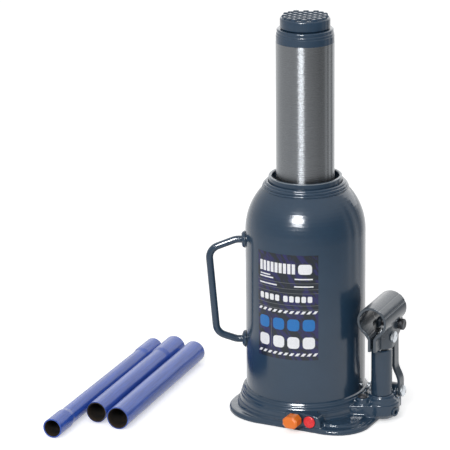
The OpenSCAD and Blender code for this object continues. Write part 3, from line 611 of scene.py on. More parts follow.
@dataclass(frozen=True)
class LabelPrint:
    """The label's printed film, with slanted patches of a second tone.

    Attributes:
        name: The material's name.
        colour: The print, linear.
        second: The patches' tone, linear, or None.
        roughness: Its gloss.
        shine: How strongly it mirrors, where 0.5 is plain film.
        slant: The patches' lean, in degrees.
    """

    name: str
    colour: Colour
    second: Colour | None = None
    roughness: float = 0.2
    shine: float = 0.45
    slant: float = 38.0

    def material(self) -> bpy.types.Material:
        """Returns the film's material."""
        s = Surface(self.name)
        at = s.coords["Object"]
        fleck = s.noise(at, 1500, 2)
        tone = s.mix(s.spread(fleck, 0.3, 0.7, 0, 1), shade(self.colour, 0.9), shade(self.colour, 1.08))
        if self.second is not None:
            slant = s.place(s.place(at, turn=(0, math.radians(self.slant), 0)), scale=(1, 1, 0.25))
            patches = s.spread(s.noise(slant, 190, 3, 0.6), 0.47, 0.56, 0, 1)
            tone = s.mix(patches, tone, self.second)
        gloss = s.spread(s.noise(at, 500, 3), 0.3, 0.7, self.roughness * 0.85, self.roughness * 1.25)
        s.set(Base_Color=tone, Roughness=gloss, Normal=s.bump(fleck, 0.000005),
              Specular_IOR_Level=self.shine)
        return s.material


LABEL_GROUND = LabelPrint("label_film", (0.012, 0.018, 0.026), (0.018, 0.019, 0.095))
LABEL_INKS = {
    "rule": LabelPrint("label_grey_ink", (0.10, 0.11, 0.12)),
    "white": LabelPrint("label_white_ink", (0.78, 0.79, 0.82)),
    "blue": LabelPrint("label_blue_ink", (0.008, 0.15, 0.45)),
}
# A lighter copy of the slate paint, for the thin ring on the cylinder's top edge: a painted highlight.
RIM_HIGHLIGHT_PAINT = GlossPaint("worn_slate_edge", (0.13, 0.16, 0.19), 0.24, shine=0.8)
SOCKET_PAINT = GlossPaint("socket_satin", (0.027, 0.042, 0.060), 0.22, shine=0.75)
FINISHES = {
    Slot.SLATE: GlossPaint("slate_gloss", (0.0195, 0.0445, 0.0800)),
    Slot.DARK: GlossPaint("dark_slate_gloss", (0.0190, 0.0415, 0.0730)),
    Slot.RAM: TurnedSteel("ram_steel", (0.235, 0.248, 0.262), 0.27, 0.98, 0.0000004, 0.1, 0.25),
    Slot.TURNED: TurnedSteel("turned_steel", (0.25, 0.25, 0.26), 0.32),
    Slot.BLUED: PlainSteel("blued_steel", (0.05, 0.055, 0.06), (0.03, 0.02, 0.015), 0.38, 0.2),
    Slot.ZINC: PlainSteel("zinc_plate", (0.62, 0.66, 0.70), (0.25, 0.25, 0.24), 0.3, 0.25),
    Slot.DARK_PIN: PlainSteel("dark_pin_steel", (0.07, 0.075, 0.085), (0.05, 0.035, 0.03), 0.4, 0.4),
    Slot.LINK: GlossPaint("link_paint", (0.045, 0.060, 0.080), 0.18),
    Slot.BALL: PlainSteel("ball_steel", (0.6, 0.6, 0.62), (0.3, 0.3, 0.3), 0.12, 0.05),
    Slot.COPPER: PlainSteel("soft_copper", (0.55, 0.22, 0.10), (0.18, 0.08, 0.05), 0.35, 0.4),
    Slot.RUBBER: Moulded("black_rubber", (0.015, 0.015, 0.017), 0.55, 0.00004),
    Slot.AMBER: Moulded("amber_seal", (0.22, 0.10, 0.02), 0.4),
    Slot.ORANGE: Moulded("orange_knob", (0.80, 0.18, 0.01), 0.33, glow=0.08),
    Slot.RED: Moulded("red_cap", (0.76, 0.022, 0.03), 0.3, glow=0.06),
}


# ---------------------------------------------------------------- modelling by operators


def pick(piece: bpy.types.Object) -> bpy.types.Object:
    """Makes a piece the only selected and the active object.

    Args:
        piece: The piece.

    Returns:
        The same piece.
    """
    bpy.ops.object.select_all(action="DESELECT")
    piece.select_set(True)
    bpy.context.view_layer.objects.active = piece
    return piece


@contextmanager
def editing(piece: bpy.types.Object) -> Iterator[None]:
    """Opens a piece in edit mode with all of it selected, and closes it afterwards.

    Args:
        piece: The piece.
    """
    pick(piece)
    bpy.ops.object.mode_set(mode="EDIT")
    bpy.ops.mesh.select_all(action="SELECT")
    yield
    bpy.ops.object.mode_set(mode="OBJECT")


def linked(name: str, data: bpy.types.ID) -> bpy.types.Object:
    """Makes an object and puts it into the scene.

    Args:
        name: The object's name.
        data: Its mesh, camera or lamp.

    Returns:
        The object.
    """
    made = bpy.data.objects.new(name, data)
    bpy.context.scene.collection.objects.link(made)
    return made


def apply_modifier(piece: bpy.types.Object, kind: str, **settings: object) -> None:
    """Adds a modifier and applies it.

    Args:
        piece: The piece.
        kind: The modifier's type.
        settings: Its attributes.
    """
    pick(piece)
    bpy.ops.object.modifier_add(type=kind)
    modifier = piece.modifiers[-1]
    for key, value in settings.items():
        setattr(modifier, key, value)
    bpy.ops.object.modifier_apply(modifier=modifier.name)


def ripple(piece: bpy.types.Object, name: str, size: float, depth: float, level: float = 0.5) -> None:
    """Makes a piece's skin uneven.

    Args:
        piece: The piece.
        name: The pattern's name.
        size: How long its waves are.
        depth: How deep they are.
        level: The height of the pattern that stays in place, from 0 to 1.
    """
    clouds = bpy.data.textures.new(name, "CLOUDS")
    clouds.noise_scale = size
    apply_modifier(piece, "DISPLACE", texture=clouds, strength=depth, mid_level=level)


def smooth(piece: bpy.types.Object, degrees: float = 35.0) -> None:
    """Shades a piece smooth up to an angle.

    Args:
        piece: The piece.
        degrees: The angle past which an edge stays sharp.
    """
    pick(piece)
    bpy.ops.object.shade_smooth_by_angle(angle=math.radians(degrees))


def settle(piece: bpy.types.Object) -> bpy.types.Object:
    """Puts a piece's place into its mesh and its object at the origin.

    Args:
        piece: The piece.

    Returns:
        The same piece.
    """
    bpy.context.view_layer.update()
    piece.data.transform(piece.matrix_world)
    piece.matrix_world = Matrix.Identity(4)
    return piece


def welded_copy(node: str, name: str) -> bpy.types.Object:
    """Copies a CAD node's mesh and merges its loose triangles into one skin.

    Args:
        node: The CAD node.
        name: The copy's name.

    Returns:
        The copy, riding on nothing yet.
    """
    piece = linked(name, frame["nodes"][node].data.copy())
    with editing(piece):
        bpy.ops.mesh.remove_doubles(threshold=WELD)
        bpy.ops.mesh.dissolve_limited(angle_limit=FLAT)
    # A voxel remesh would carry the node's own normals over to the new skin, where they show as patches.
    bpy.ops.mesh.customdata_custom_splitnormals_clear()
    return piece


def revolved(name: str, outline: list[tuple[float, float]], steps: int = 160) -> bpy.types.Object:
    """Turns an outline round the Z axis.

    Args:
        name: The piece's name.
        outline: Its points as radius and height, from the axis to the axis, or back to the first one.
        steps: Faces round the piece.

    Returns:
        The closed piece.
    """
    bpy.ops.mesh.primitive_plane_add(size=0.001)
    piece = bpy.context.object
    piece.name = name
    with editing(piece):
        bpy.ops.mesh.merge(type="CENTER")
        bpy.ops.transform.translate(value=(outline[0][0], 0, outline[0][1]))
        for (radius, height), (next_radius, next_height) in zip(outline, outline[1:]):
            step = (next_radius - radius, 0, next_height - height)
            bpy.ops.mesh.extrude_vertices_move(TRANSFORM_OT_translate={"value": step})
        bpy.ops.mesh.select_all(action="SELECT")
        bpy.ops.mesh.spin(steps=steps, angle=2 * math.pi, center=(0, 0, 0), axis=(0, 0, 1))
        bpy.ops.mesh.select_all(action="SELECT")
        bpy.ops.mesh.remove_doubles(threshold=WELD)
        bpy.ops.mesh.select_all(action="SELECT")
        bpy.ops.mesh.normals_make_consistent(inside=False)
    return piece


def arc(across: float, up: float, radius: float, start: int, stop: int) -> list[tuple[float, float]]:
    """Returns points round an arc, for an outline that is turned round Z.

    Args:
        across: Radius of the arc's middle from the Z axis.
        up: Height of the arc's middle.
        radius: Radius of the arc.
        start: Its first point's turn from level, in degrees.
        stop: Its last point's turn.
    """
    turns = [math.radians(turn) for turn in range(start, stop + 1, ARC_STEP)]
    return [(across + radius * math.cos(turn), up + radius * math.sin(turn)) for turn in turns]


def hoop(radius: float, thick: float, height: float, steps: int) -> bpy.types.Object:
    """Makes a round ring about the Z axis.

    Args:
        radius: Radius of the ring's middle line.
        thick: Radius of its section.
        height: Its height.
        steps: Faces round its section.

    Returns:
        The ring.
    """
    bpy.ops.mesh.primitive_torus_add(location=(0, 0, height), major_radius=radius, minor_radius=thick,
                                     major_segments=160, minor_segments=steps)
    return settle(bpy.context.object)


def merged(name: str, pieces: list[bpy.types.Object]) -> bpy.types.Object:
    """Joins pieces into one.

    Args:
        name: The joined piece's name.
        pieces: The pieces.

    Returns:
        The joined piece.
    """
    bpy.ops.object.select_all(action="DESELECT")
    for piece in pieces:
        piece.select_set(True)
    bpy.context.view_layer.objects.active = pieces[0]
    if len(pieces) > 1:
        bpy.ops.object.join()
    pieces[0].name = name
    return pieces[0]


def dress(piece: bpy.types.Object, slot: Slot, material: bpy.types.Material | None = None) -> None:
    """Gives a piece one material and its record slot.

    Args:
        piece: The piece.
        slot: The record's slot.
        material: A material of its own, or the slot's finish where it is None.
    """
    piece.data.materials.clear()
    piece.data.materials.append(material or MATERIALS[slot])
    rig.slot(piece, slot.value)


def carry(piece: bpy.types.Object, node: str) -> None:
    """Lets a piece ride on the body of a CAD node.

    Args:
        piece: The piece.
        node: The CAD node.
    """
    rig.ride(piece, frame["nodes"][node]["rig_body"])


def stand_in(piece: bpy.types.Object, node: str) -> None:
    """Lets a piece ride on its CAD node's body and stand for the node.

    Args:
        piece: The piece.
        node: The CAD node.
    """
    carry(piece, node)
    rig.replaces(piece, node)
    LOG.info("%s stands for %s", piece.name, node)


MATERIALS = {slot: finish.material() for slot, finish in FINISHES.items()}


# ---------------------------------------------------------------- camera and studio


@dataclass
class PhotoCamera:
    """The camera that took the photograph, found from the tank, the ram and the base.

    Attributes:
        azimuth: Its direction from the ram, from -Y towards +X.
        away: Its distance from the ram's axis.
        height: Its height over the floor.
        yaw: How far it aims to the right of the ram's axis.
        pitch: How far it aims down.
        roll: How far it leans.
        focal: Its focal length, in pixels of the photograph.
        sensor: Width of its sensor, in millimetres.
    """

    azimuth: float = math.radians(25)
    away: float = 2.4
    height: float = 0.93514
    yaw: float = -0.03171
    pitch: float = 0.30407
    roll: float = -0.01134
    focal: float = 2657.89
    sensor: float = 36.0

    def build(self) -> bpy.types.Object:
        """Makes the camera and sets it as the scene's own.

        Returns:
            The camera.
        """
        data = bpy.data.cameras.new("photo_camera")
        data.lens = self.focal * self.sensor / max(PHOTO_SIZE)
        data.sensor_width = self.sensor
        data.sensor_fit = "AUTO"
        data.clip_end = 50
        camera = linked("photo_camera", data)
        turn = (Matrix.Rotation(self.azimuth - self.yaw, 4, "Z")
                @ Matrix.Rotation(math.pi / 2 - self.pitch, 4, "X") @ Matrix.Rotation(self.roll, 4, "Z"))
        place = Vector((self.away * math.sin(self.azimuth), -self.away * math.cos(self.azimuth),
                        self.height))
        camera.matrix_world = Matrix.Translation(place) @ turn
        bpy.context.scene.camera = camera
        return camera


@dataclass(frozen=True)
class Card:
    """A card that only reflections see.

    Attributes:
        name: The card's name.
        azimuth: Its direction in degrees, from -Y towards +X.
        height: Its height angle in degrees, seen from the jack's middle.
        away: Its distance.
        size: Its width and height.
        level: Its brightness, where white paper is 1.
        corner: How round its corners are, as a share of its size.
    """

    name: str
    azimuth: float
    height: float
    away: float
    size: tuple[float, float]
    level: float
    corner: float = 0.28

    def build(self, middle: Vector) -> None:
        """Makes the card, facing the jack.

        Args:
            middle: The jack's middle.
        """
        back = direction(self.azimuth, self.height)
        bpy.ops.mesh.primitive_plane_add(size=1, location=middle + back * self.away,
                                         rotation=back.to_track_quat("Z", "Y").to_euler())
        card = bpy.context.object
        card.name = self.name
        with editing(card):
            bpy.ops.mesh.bevel(affect="VERTICES", offset=self.corner, segments=6)
        card.scale = (*self.size, 1)
        s = Surface(self.name)
        s.set(Base_Color=(0.01, 0.01, 0.01, 1), Roughness=1.0, Specular_IOR_Level=0.0,
              Emission_Color=(1, 1, 1, 1), Emission_Strength=self.level)
        card.data.materials.append(s.material)
        card.visible_camera = False
        card.visible_diffuse = False
        card.visible_shadow = False
        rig.stage(settle(card))


def direction(azimuth: float, height: float) -> Vector:
    """Returns the unit vector towards a place round the jack.

    Args:
        azimuth: Its direction in degrees, from -Y towards +X.
        height: Its height angle in degrees.
    """
    turn, rise = math.radians(azimuth), math.radians(height)
    return Vector((math.sin(turn) * math.cos(rise), -math.cos(turn) * math.cos(rise), math.sin(rise)))


@dataclass
class Studio:
    """The white floor, the surround, the key lamp and its cards.

    Attributes:
        floor_size: Width of the floor.
        fill: Strength of the light that comes from all round.
        key_power: Power of the key lamp.
        key_azimuth: The key lamp's direction in degrees, from -Y towards +X.
        key_height: The key lamp's height angle in degrees.
        key_away: The key lamp's distance.
        key_size: The key lamp's width and height.
        floor_lift: Light added to the floor where the camera or a reflection sees it.
        floor_paper: Brightness of the floor's colour, linear.
        floor_drop: How far the floor lies under the object's foot.
        middle: The jack's middle, which the lamp and the cards face.
        walls: What gloss sees level with the jack, as pairs of azimuth in degrees and brightness.
        near: Distance from the jack up to which gloss sees the floor white.
        far: Distance from which the floor is as bright as the walls.
        overhead: Rise of a reflection over which the walls turn into the white above.
        cards: The cards beside the jack.
    """

    floor_size: float = 12.0
    fill: float = 0.72
    key_power: float = 24.0
    key_azimuth: float = 8.5
    key_height: float = 28.0
    key_away: float = 2.2
    key_size: tuple[float, float] = (0.95, 0.6)
    floor_lift: float = 0.5
    floor_paper: float = 0.82
    floor_drop: float = 0.0003
    middle: Vector = field(default_factory=lambda: Vector((0, 0, 0.18)))
    walls: list = field(default_factory=lambda: [
        (-180, 1.0), (-115, 1.0), (-75, 0.72), (-28, 0.56), (5, 0.50), (45, 0.32), (85, 0.20), (106, 0.25),
        (116, 0.75), (124, 0.12), (136, 1.0), (150, 0.15), (164, 1.0),
    ])
    near: float = 0.18
    far: float = 0.75
    overhead: tuple[float, float] = (0.2, 0.7)
    cards: list = field(default_factory=lambda: [
        Card("key_glint", 8.5, 28.5, 2.19, (0.76, 0.54), 62.0),
        Card("back_softbox", 190.0, 31.0, 2.2, (3.5, 2.5), 2.1),
    ])

    def build(self) -> None:
        """Makes the surround, the floor, the lamp and the cards."""
        self.surround()
        self.floor()
        self.lamp("key_lamp")
        for card in self.cards:
            card.build(self.middle)

    def wall_level(self, nodes: Tree, place: bpy.types.NodeSocket) -> bpy.types.NodeSocket:
        """Adds nodes that turn a direction from the jack into the brightness that gloss sees there.

        Args:
            nodes: The tree to add to.
            place: The direction, or a place seen from the jack's foot.

        Returns:
            The brightness.
        """
        parts = nodes.split(place)
        turn = nodes.calc("ARCTAN2", parts["X"], nodes.calc("MULTIPLY", parts["Y"], -1.0))
        ramp = nodes.add("ShaderNodeValToRGB")
        nodes.feed(ramp.inputs[0], nodes.calc("ADD", nodes.calc("DIVIDE", turn, 2 * math.pi), 0.5))
        stops = ramp.color_ramp.elements
        for azimuth, _ in self.walls[1:-1]:
            stops.new(azimuth / 360 + 0.5)
        for stop, (azimuth, level) in zip(stops, self.walls):
            stop.position = azimuth / 360 + 0.5
            stop.color = (level, level, level, 1)
        return ramp.outputs[0]

    def surround(self) -> None:
        """Makes the world: white to the camera, the walls to gloss, and a plain fill light elsewhere."""
        world = bpy.data.worlds.new("surround")
        bpy.context.scene.world = world
        world.use_nodes = True
        nodes = Tree(world.node_tree)
        back = world.node_tree.nodes["Background"]
        back.inputs["Color"].default_value = (1, 1, 1, 1)
        path, look = nodes.add("ShaderNodeLightPath").outputs, nodes.coords["Generated"]
        overhead = nodes.spread(nodes.split(look)["Z"], *self.overhead, 0, 1, "SMOOTHSTEP")
        gloss = nodes.blend(overhead, self.wall_level(nodes, look), 1.0)
        seen = nodes.calc("MAXIMUM", path["Is Camera Ray"], path["Is Transmission Ray"])
        level = nodes.blend(path["Is Glossy Ray"], nodes.calc("MULTIPLY", gloss, self.fill), gloss)
        nodes.feed(back.inputs["Strength"], nodes.blend(seen, level, 1.0))

    def floor(self) -> None:
        """Makes the white floor, which keeps the object's shadow and dims away from the jack in gloss."""
        bpy.ops.mesh.primitive_plane_add(size=self.floor_size, location=(0, 0, -self.floor_drop))
        plane = bpy.context.object
        plane.name = "studio_floor"
        s = Surface("studio_floor")
        path, place = s.add("ShaderNodeLightPath").outputs, s.coords["Object"]
        away = s.spread(s.vector("LENGTH", place).outputs["Value"], self.near, self.far, 0, 1, "SMOOTHSTEP")
        level = s.blend(path["Is Glossy Ray"], 1.0, s.blend(away, 1.0, self.wall_level(s, place)))
        seen = s.calc("MAXIMUM", path["Is Camera Ray"], path["Is Transmission Ray"])
        lift = s.calc("MULTIPLY", s.calc("MAXIMUM", seen, path["Is Glossy Ray"]), self.floor_lift)
        s.set(Base_Color=s.mix(level, (0.0, 0.0, 0.0), (self.floor_paper,) * 3), Roughness=1.0,
              Specular_IOR_Level=0.0, Emission_Color=(1, 1, 1, 1),
              Emission_Strength=s.calc("MULTIPLY", lift, level))
        plane.data.materials.append(s.material)
        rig.stage(settle(plane))

    def lamp(self, name: str) -> None:
        """Makes the soft key lamp, aimed at the jack's middle; its card gives the glints.

        Args:
            name: The lamp's name.
        """
        data = bpy.data.lights.new(name, "AREA")
        data.shape = "RECTANGLE"
        data.size, data.size_y = self.key_size
        data.energy = self.key_power
        lamp = linked(name, data)
        back = direction(self.key_azimuth, self.key_height)
        lamp.location = self.middle + back * self.key_away
        lamp.rotation_mode = "QUATERNION"
        lamp.rotation_quaternion = (-back).to_track_quat("-Z", "Y")
        lamp.visible_glossy = False


@dataclass
class Sight:
    """Rays through the photograph's points, and the report on where things show.

    Attributes:
        camera: The scene's camera.
        skip: How far past a hidden face a ray goes on.
    """

    camera: bpy.types.Object
    skip: float = 0.00002

    def ray(self, x: float, y: float) -> tuple[Vector, Vector]:
        """Returns a ray's start and its direction through a point of the photograph.

        Args:
            x: The point's x, in pixels.
            y: The point's y, in pixels.
        """
        width, height = PHOTO_SIZE
        data, long_side = self.camera.data, max(PHOTO_SIZE)
        look = Vector((x - width / 2 + data.shift_x * long_side, height / 2 - y + data.shift_y * long_side,
                       -long_side * data.lens / data.sensor_width))
        place = self.camera.matrix_world
        return place.translation.copy(), (place.to_3x3() @ look).normalized()

    def pixel(self, place: Vector) -> tuple[float, float]:
        """Returns where a place shows in the photograph's frame.

        Args:
            place: The place.
        """
        width, height = PHOTO_SIZE
        data, long_side = self.camera.data, max(PHOTO_SIZE)
        seen = self.camera.matrix_world.inverted() @ place
        scale = long_side * data.lens / data.sensor_width / -seen.z
        return (seen.x * scale + width / 2 - data.shift_x * long_side,
                height / 2 - seen.y * scale + data.shift_y * long_side)

    def meet(self, carrier: bpy.types.Object, point: str) -> Vector:
        """Returns the place on a carrier that shows at an image point.

        Args:
            carrier: The piece that is hit.
            point: The point's name.

        Returns:
            The place hit, or for a miss the place nearest the ray.
        """
        start, look = self.ray(*IMAGE_POINTS[point])
        skin = BVHTree.FromObject(carrier, bpy.context.evaluated_depsgraph_get())
        hit = skin.ray_cast(start, look)[0]
        if hit is not None:
            return hit
        middle = (carrier.matrix_world @ Vector(carrier.bound_box[0])
                  + carrier.matrix_world @ Vector(carrier.bound_box[6])) / 2
        return skin.find_nearest(start + look * (middle - start).dot(look))[0]

    def first(self, x: float, y: float) -> str | None:
        """Returns the name of the piece that shows at a point of the photograph.

        Args:
            x: The point's x, in pixels.
            y: The point's y, in pixels.
        """
        start, look = self.ray(x, y)
        graph = bpy.context.evaluated_depsgraph_get()
        while True:
            hit, place, _, _, piece, _ = bpy.context.scene.ray_cast(graph, start, look)
            if not hit:
                return None
            if not piece.hide_render and piece.visible_camera:
                return piece.name
            start = place + look * self.skip

    def showing(self, piece: bpy.types.Object, step: float = 0.5) -> tuple[float, float] | None:
        """Returns the middle of what shows of a piece, in pixels, or None where nothing shows.

        Args:
            piece: The piece.
            step: Spacing of the test rays, in pixels.
        """
        spots = [self.pixel(piece.matrix_world @ vertex.co) for vertex in piece.data.vertices]
        low = [min(spot[axis] for spot in spots) for axis in (0, 1)]
        high = [max(spot[axis] for spot in spots) for axis in (0, 1)]
        seen = []
        for row in range(int((high[1] - low[1]) / step) + 1):
            for column in range(int((high[0] - low[0]) / step) + 1):
                x, y = low[0] + column * step, low[1] + row * step
                if self.first(x, y) == piece.name:
                    seen.append((x, y))
        if not seen:
            return None
        return tuple(sorted(spot[axis] for spot in seen)[len(seen) // 2] for axis in (0, 1))

    def report(self, pieces: dict[str, bpy.types.Object], label: bpy.types.Object, path: str) -> None:
        """Writes how far each thing shows from its image point.

        Args:
            pieces: The piece of each feature's point.
            label: The label's ground, for its corners.
            path: The file to write.
        """
        bpy.context.view_layer.update()
        stage = {piece.name for piece in bpy.context.scene.objects if piece.get("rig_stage")}
        spots = [self.pixel(piece.matrix_world @ vertex.co) for piece in bpy.context.scene.objects
                 if piece.type == "MESH" and not piece.hide_render and piece.name not in stage
                 and piece.get("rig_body") for vertex in piece.data.vertices]
        across, down = zip(*spots)
        found = {"object_left": min(across), "object_right": max(across),
                 "object_top": min(down), "object_bottom": max(down)}
        corner = [self.pixel(vertex.co) for vertex in label.data.vertices]
        found["label_upper_left"] = min(corner, key=lambda spot: spot[0] + spot[1])
        found["label_lower_right"] = max(corner, key=lambda spot: spot[0] + spot[1])
        found.update({name: self.showing(piece) for name, piece in pieces.items()})
        off = {}
        for name, point in IMAGE_POINTS.items():
            place = found[name]
            if place is None:
                off[name] = None
            elif isinstance(point, tuple):
                off[name] = [round(place[axis] - point[axis], 2) for axis in (0, 1)]
            else:
                off[name] = round(place - point, 2)
            LOG.info("point %s is off by %s pixels", name, off[name])
        with open(path, "w") as report:
            json.dump(off, report)


# ---------------------------------------------------------------- sub-assemblies


@dataclass
class Ram:
    """The ram: ground steel with a painted head.

    Attributes:
        radius: Radius of the bare barrel.
        head_h: Height of the painted head.
        head_in: How much smaller than the barrel its foot is.
        crown_h: Height of the head's crown, above a small step.
        crown_in: How much smaller than the barrel the crown is.
        rim: Radius of the crown's rounded edge.
        bead_h: Height of the rounded bead under the crown's edge.
        hole: Radius of the hole for the extension screw.
        piston_h: Length of the piston.
        groove: Depth of the piston's seal groove.
        groove_up: Distance of the groove's top under the piston's top.
        groove_h: Height of the groove.
        hole_len: Depth of the hole.
        tip: Depth of the hole's drilled tip.
        nick: Size of the small step under the crown.
        flare: How far the bead stands out past the crown.
        ease: How far inside the crown its rounded edge starts.
    """

    radius: float = 0.02745
    head_h: float = 0.0126
    head_in: float = 0.00015
    crown_h: float = 0.0062
    crown_in: float = 0.0006
    rim: float = 0.0015
    bead_h: float = 0.0030
    hole: float = 0.01815
    piston_h: float = 0.022
    groove: float = 0.004
    groove_up: float = 0.005
    groove_h: float = 0.008
    hole_len: float = 0.120
    tip: float = 0.006
    nick: float = 0.0002
    flare: float = 0.0002
    ease: float = 0.0003

    def build(self) -> None:
        """Makes the bare barrel and the painted head."""
        low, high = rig.box("ram")
        foot, top, piston = low[2], high[2], high[0]
        shelf = foot + self.piston_h
        upper, lower = shelf - self.groove_up, shelf - self.groove_up - self.groove_h
        seam, r = top - self.head_h, self.radius
        bare = revolved("ram_bare", [
            (0, foot), (piston, foot), (piston, lower), (piston - self.groove, lower),
            (piston - self.groove, upper), (piston, upper), (piston, shelf), (r, shelf), (r, seam),
            (self.hole, seam), (self.hole, top - self.hole_len), (0, top - self.hole_len - self.tip)])
        body, crown, step = r - self.head_in, r - self.crown_in, top - self.crown_h
        rim, nick = self.rim, self.nick
        bead = arc(crown + self.flare - rim, step + self.bead_h - rim, rim, 0, 60)
        edge = arc(crown - self.ease - rim, top - rim, rim, -15, 90)
        head = revolved("ram_painted_head", [
            (self.hole, seam), (body, seam), (body, step - 2 * nick), (body - nick, step),
            (crown, step + nick), *bead, *edge, (self.hole + MM, top), (self.hole, top - MM),
            (self.hole, seam)])
        for piece, slot in ((bare, Slot.RAM), (head, Slot.SLATE)):
            smooth(piece, 20)
            dress(piece, slot)
            carry(piece, "ram")
        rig.replaces(bare, "ram")
        LOG.info("the ram has its steel and its painted head")


@dataclass
class Saddle:
    """The saddle, with the grid of blunt pyramids that grips the load.

    Attributes:
        radius: Its radius.
        skirt_gap: Gap between its skirt and the ram's head.
        edge: Radius of its rounded upper edge.
        rim_in: How far inside its radius the outer studs end.
        field_drop: How far the field of pyramids lies under their tops.
        pitch: Spacing of the pyramids.
        field_r: Radius within which a pyramid's middle lies.
        turn: Turn of the grid about Z, in degrees.
        spigot: Radius and depth of the bore for the screw's spigot.
        skirt_r: Radius inside the skirt.
        foot_edge: Width and height of the bevel round the skirt's foot.
        grip: Radii of a pyramid's foot and top, as shares of the pitch.
        grip_edge: Width of a pyramid's rounded edges.
        sunk: How far a pyramid reaches into the body.
        lean: How far the outer studs lean in as they rise.
    """

    radius: float = 0.0235
    skirt_gap: float = 0.00035
    edge: float = 0.0020
    rim_in: float = 0.0008
    field_drop: float = 0.0018
    pitch: float = 0.0066
    field_r: float = 0.0222
    turn: float = 67.0
    spigot: tuple[float, float] = (0.00915, 0.0055)
    skirt_r: float = 0.0165
    foot_edge: tuple[float, float] = (0.0008, 0.0010)
    grip: tuple[float, float] = (0.68, 0.40)
    grip_edge: float = 0.0006
    sunk: float = 0.0012
    lean: float = 0.4

    def build(self) -> None:
        """Makes the body and the pyramids as one piece."""
        low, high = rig.box("saddle")
        floor_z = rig.box("ram")[1][2] + self.skirt_gap
        foot, field_z = low[2], high[2] - self.field_drop
        r, e = self.radius, self.edge
        spigot_r, spigot_h = self.spigot
        edge_w, edge_h = self.foot_edge
        body = revolved("saddle_gripped", [
            (0, foot + spigot_h), (spigot_r, foot + spigot_h), (spigot_r, foot), (self.skirt_r, foot),
            (self.skirt_r, floor_z), (r - edge_w, floor_z), (r, floor_z + edge_h),
            *arc(r - e, field_z - e, e, 0, 90), (0, field_z)], 96)
        grips = self.pyramids(field_z, high[2])
        piece = merged("saddle_gripped", [body, *grips])
        smooth(piece, 38)
        dress(piece, Slot.SLATE)
        stand_in(piece, "saddle")

    def pyramids(self, field_z: float, top: float) -> list[bpy.types.Object]:
        """Makes one blunt pyramid and copies it over the grid, cut off at the rim.

        Args:
            field_z: Height of the field.
            top: Height of the pyramids' tops.

        Returns:
            The pyramids.
        """
        foot = field_z - self.sunk
        foot_r, top_r = (self.pitch * share for share in self.grip)
        bpy.ops.mesh.primitive_cone_add(vertices=4, radius1=foot_r, radius2=top_r, depth=top - foot,
                                        location=(0, 0, (top + foot) / 2), rotation=(0, 0, math.pi / 4))
        first = settle(bpy.context.object)
        apply_modifier(first, "BEVEL", width=self.grip_edge, segments=2, limit_method="ANGLE")
        grips, reach, turn = [], int(self.field_r / self.pitch) + 1, math.radians(self.turn)
        for row in range(-reach, reach + 1):
            for column in range(-reach, reach + 1):
                place = Vector((column * self.pitch, row * self.pitch, 0))
                if place.length <= self.field_r:
                    copy = linked("grip", first.data.copy())
                    copy.data.transform(Matrix.Rotation(turn, 4, "Z") @ Matrix.Translation(place))
                    for vertex in copy.data.vertices:
                        out = math.hypot(vertex.co.x, vertex.co.y)
                        limit = self.radius - self.rim_in - self.lean * max(0.0, vertex.co.z - field_z)
                        if out > limit:
                            vertex.co.x, vertex.co.y = vertex.co.x * limit / out, vertex.co.y * limit / out
                    grips.append(copy)
        bpy.data.objects.remove(first)
        return grips


@dataclass
class LiftScrew:
    """The extension screw in the ram, with its thread.

    Attributes:
        pitch: Rise of the thread in one turn.
        depth: Depth of the thread.
        crest: Radius over the thread.
        start: Height where the thread starts.
        stop: Height where it ends.
        rings: Rings of points in one turn's rise.
        ends: How far the thread stays clear of the screw's foot and top.
        crown: Half the crest's share of one rise.
        flank: A flank's share of one rise, twice over.
        slack: How far off the crest's radius skin still counts as the shaft's.
    """

    pitch: float = 0.006
    depth: float = 0.0024
    crest: float = 0.018
    start: float = 0.262
    stop: float = 0.372
    rings: int = 10
    ends: tuple[float, float] = (0.003, 0.002)
    crown: float = 0.22
    flank: float = 0.5
    slack: float = 0.0004

    def profile(self, phase: float) -> float:
        """Returns the depth under the crest at a phase from 0 to 1 of the thread.

        Args:
            phase: The place along one rise.
        """
        return self.depth * min(1.0, max(0.0, (abs(phase * 2 - 1) - self.crown) / self.flank))

    def build(self) -> None:
        """Cuts rings round the shaft and draws them in along the thread."""
        piece = welded_copy("extension_screw", "extension_screw_threaded")
        low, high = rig.box("extension_screw")
        self.start = max(self.start, low[2] + self.ends[0])
        self.stop = min(self.stop, high[2] - self.ends[1])
        levels = int((self.stop - self.start) / self.pitch * self.rings)
        with editing(piece):
            for level in range(levels + 1):
                bpy.ops.mesh.select_all(action="SELECT")
                height = self.start + (self.stop - self.start) * level / levels
                bpy.ops.mesh.bisect(plane_co=(0, 0, height), plane_no=(0, 0, 1))
        for vertex in piece.data.vertices:
            x, y, z = vertex.co
            radius = math.hypot(x, y)
            if abs(radius - self.crest) > self.slack or not self.start < z < self.stop:
                continue
            turn = math.atan2(y, x) / (2 * math.pi)
            ease = min(1.0, (z - self.start) / self.pitch, (self.stop - z) / self.pitch)
            inner = radius - self.profile((z / self.pitch - turn) % 1.0) * ease
            vertex.co.x, vertex.co.y = x * inner / radius, y * inner / radius
        smooth(piece, 40)
        dress(piece, Slot.TURNED)
        stand_in(piece, "extension_screw")


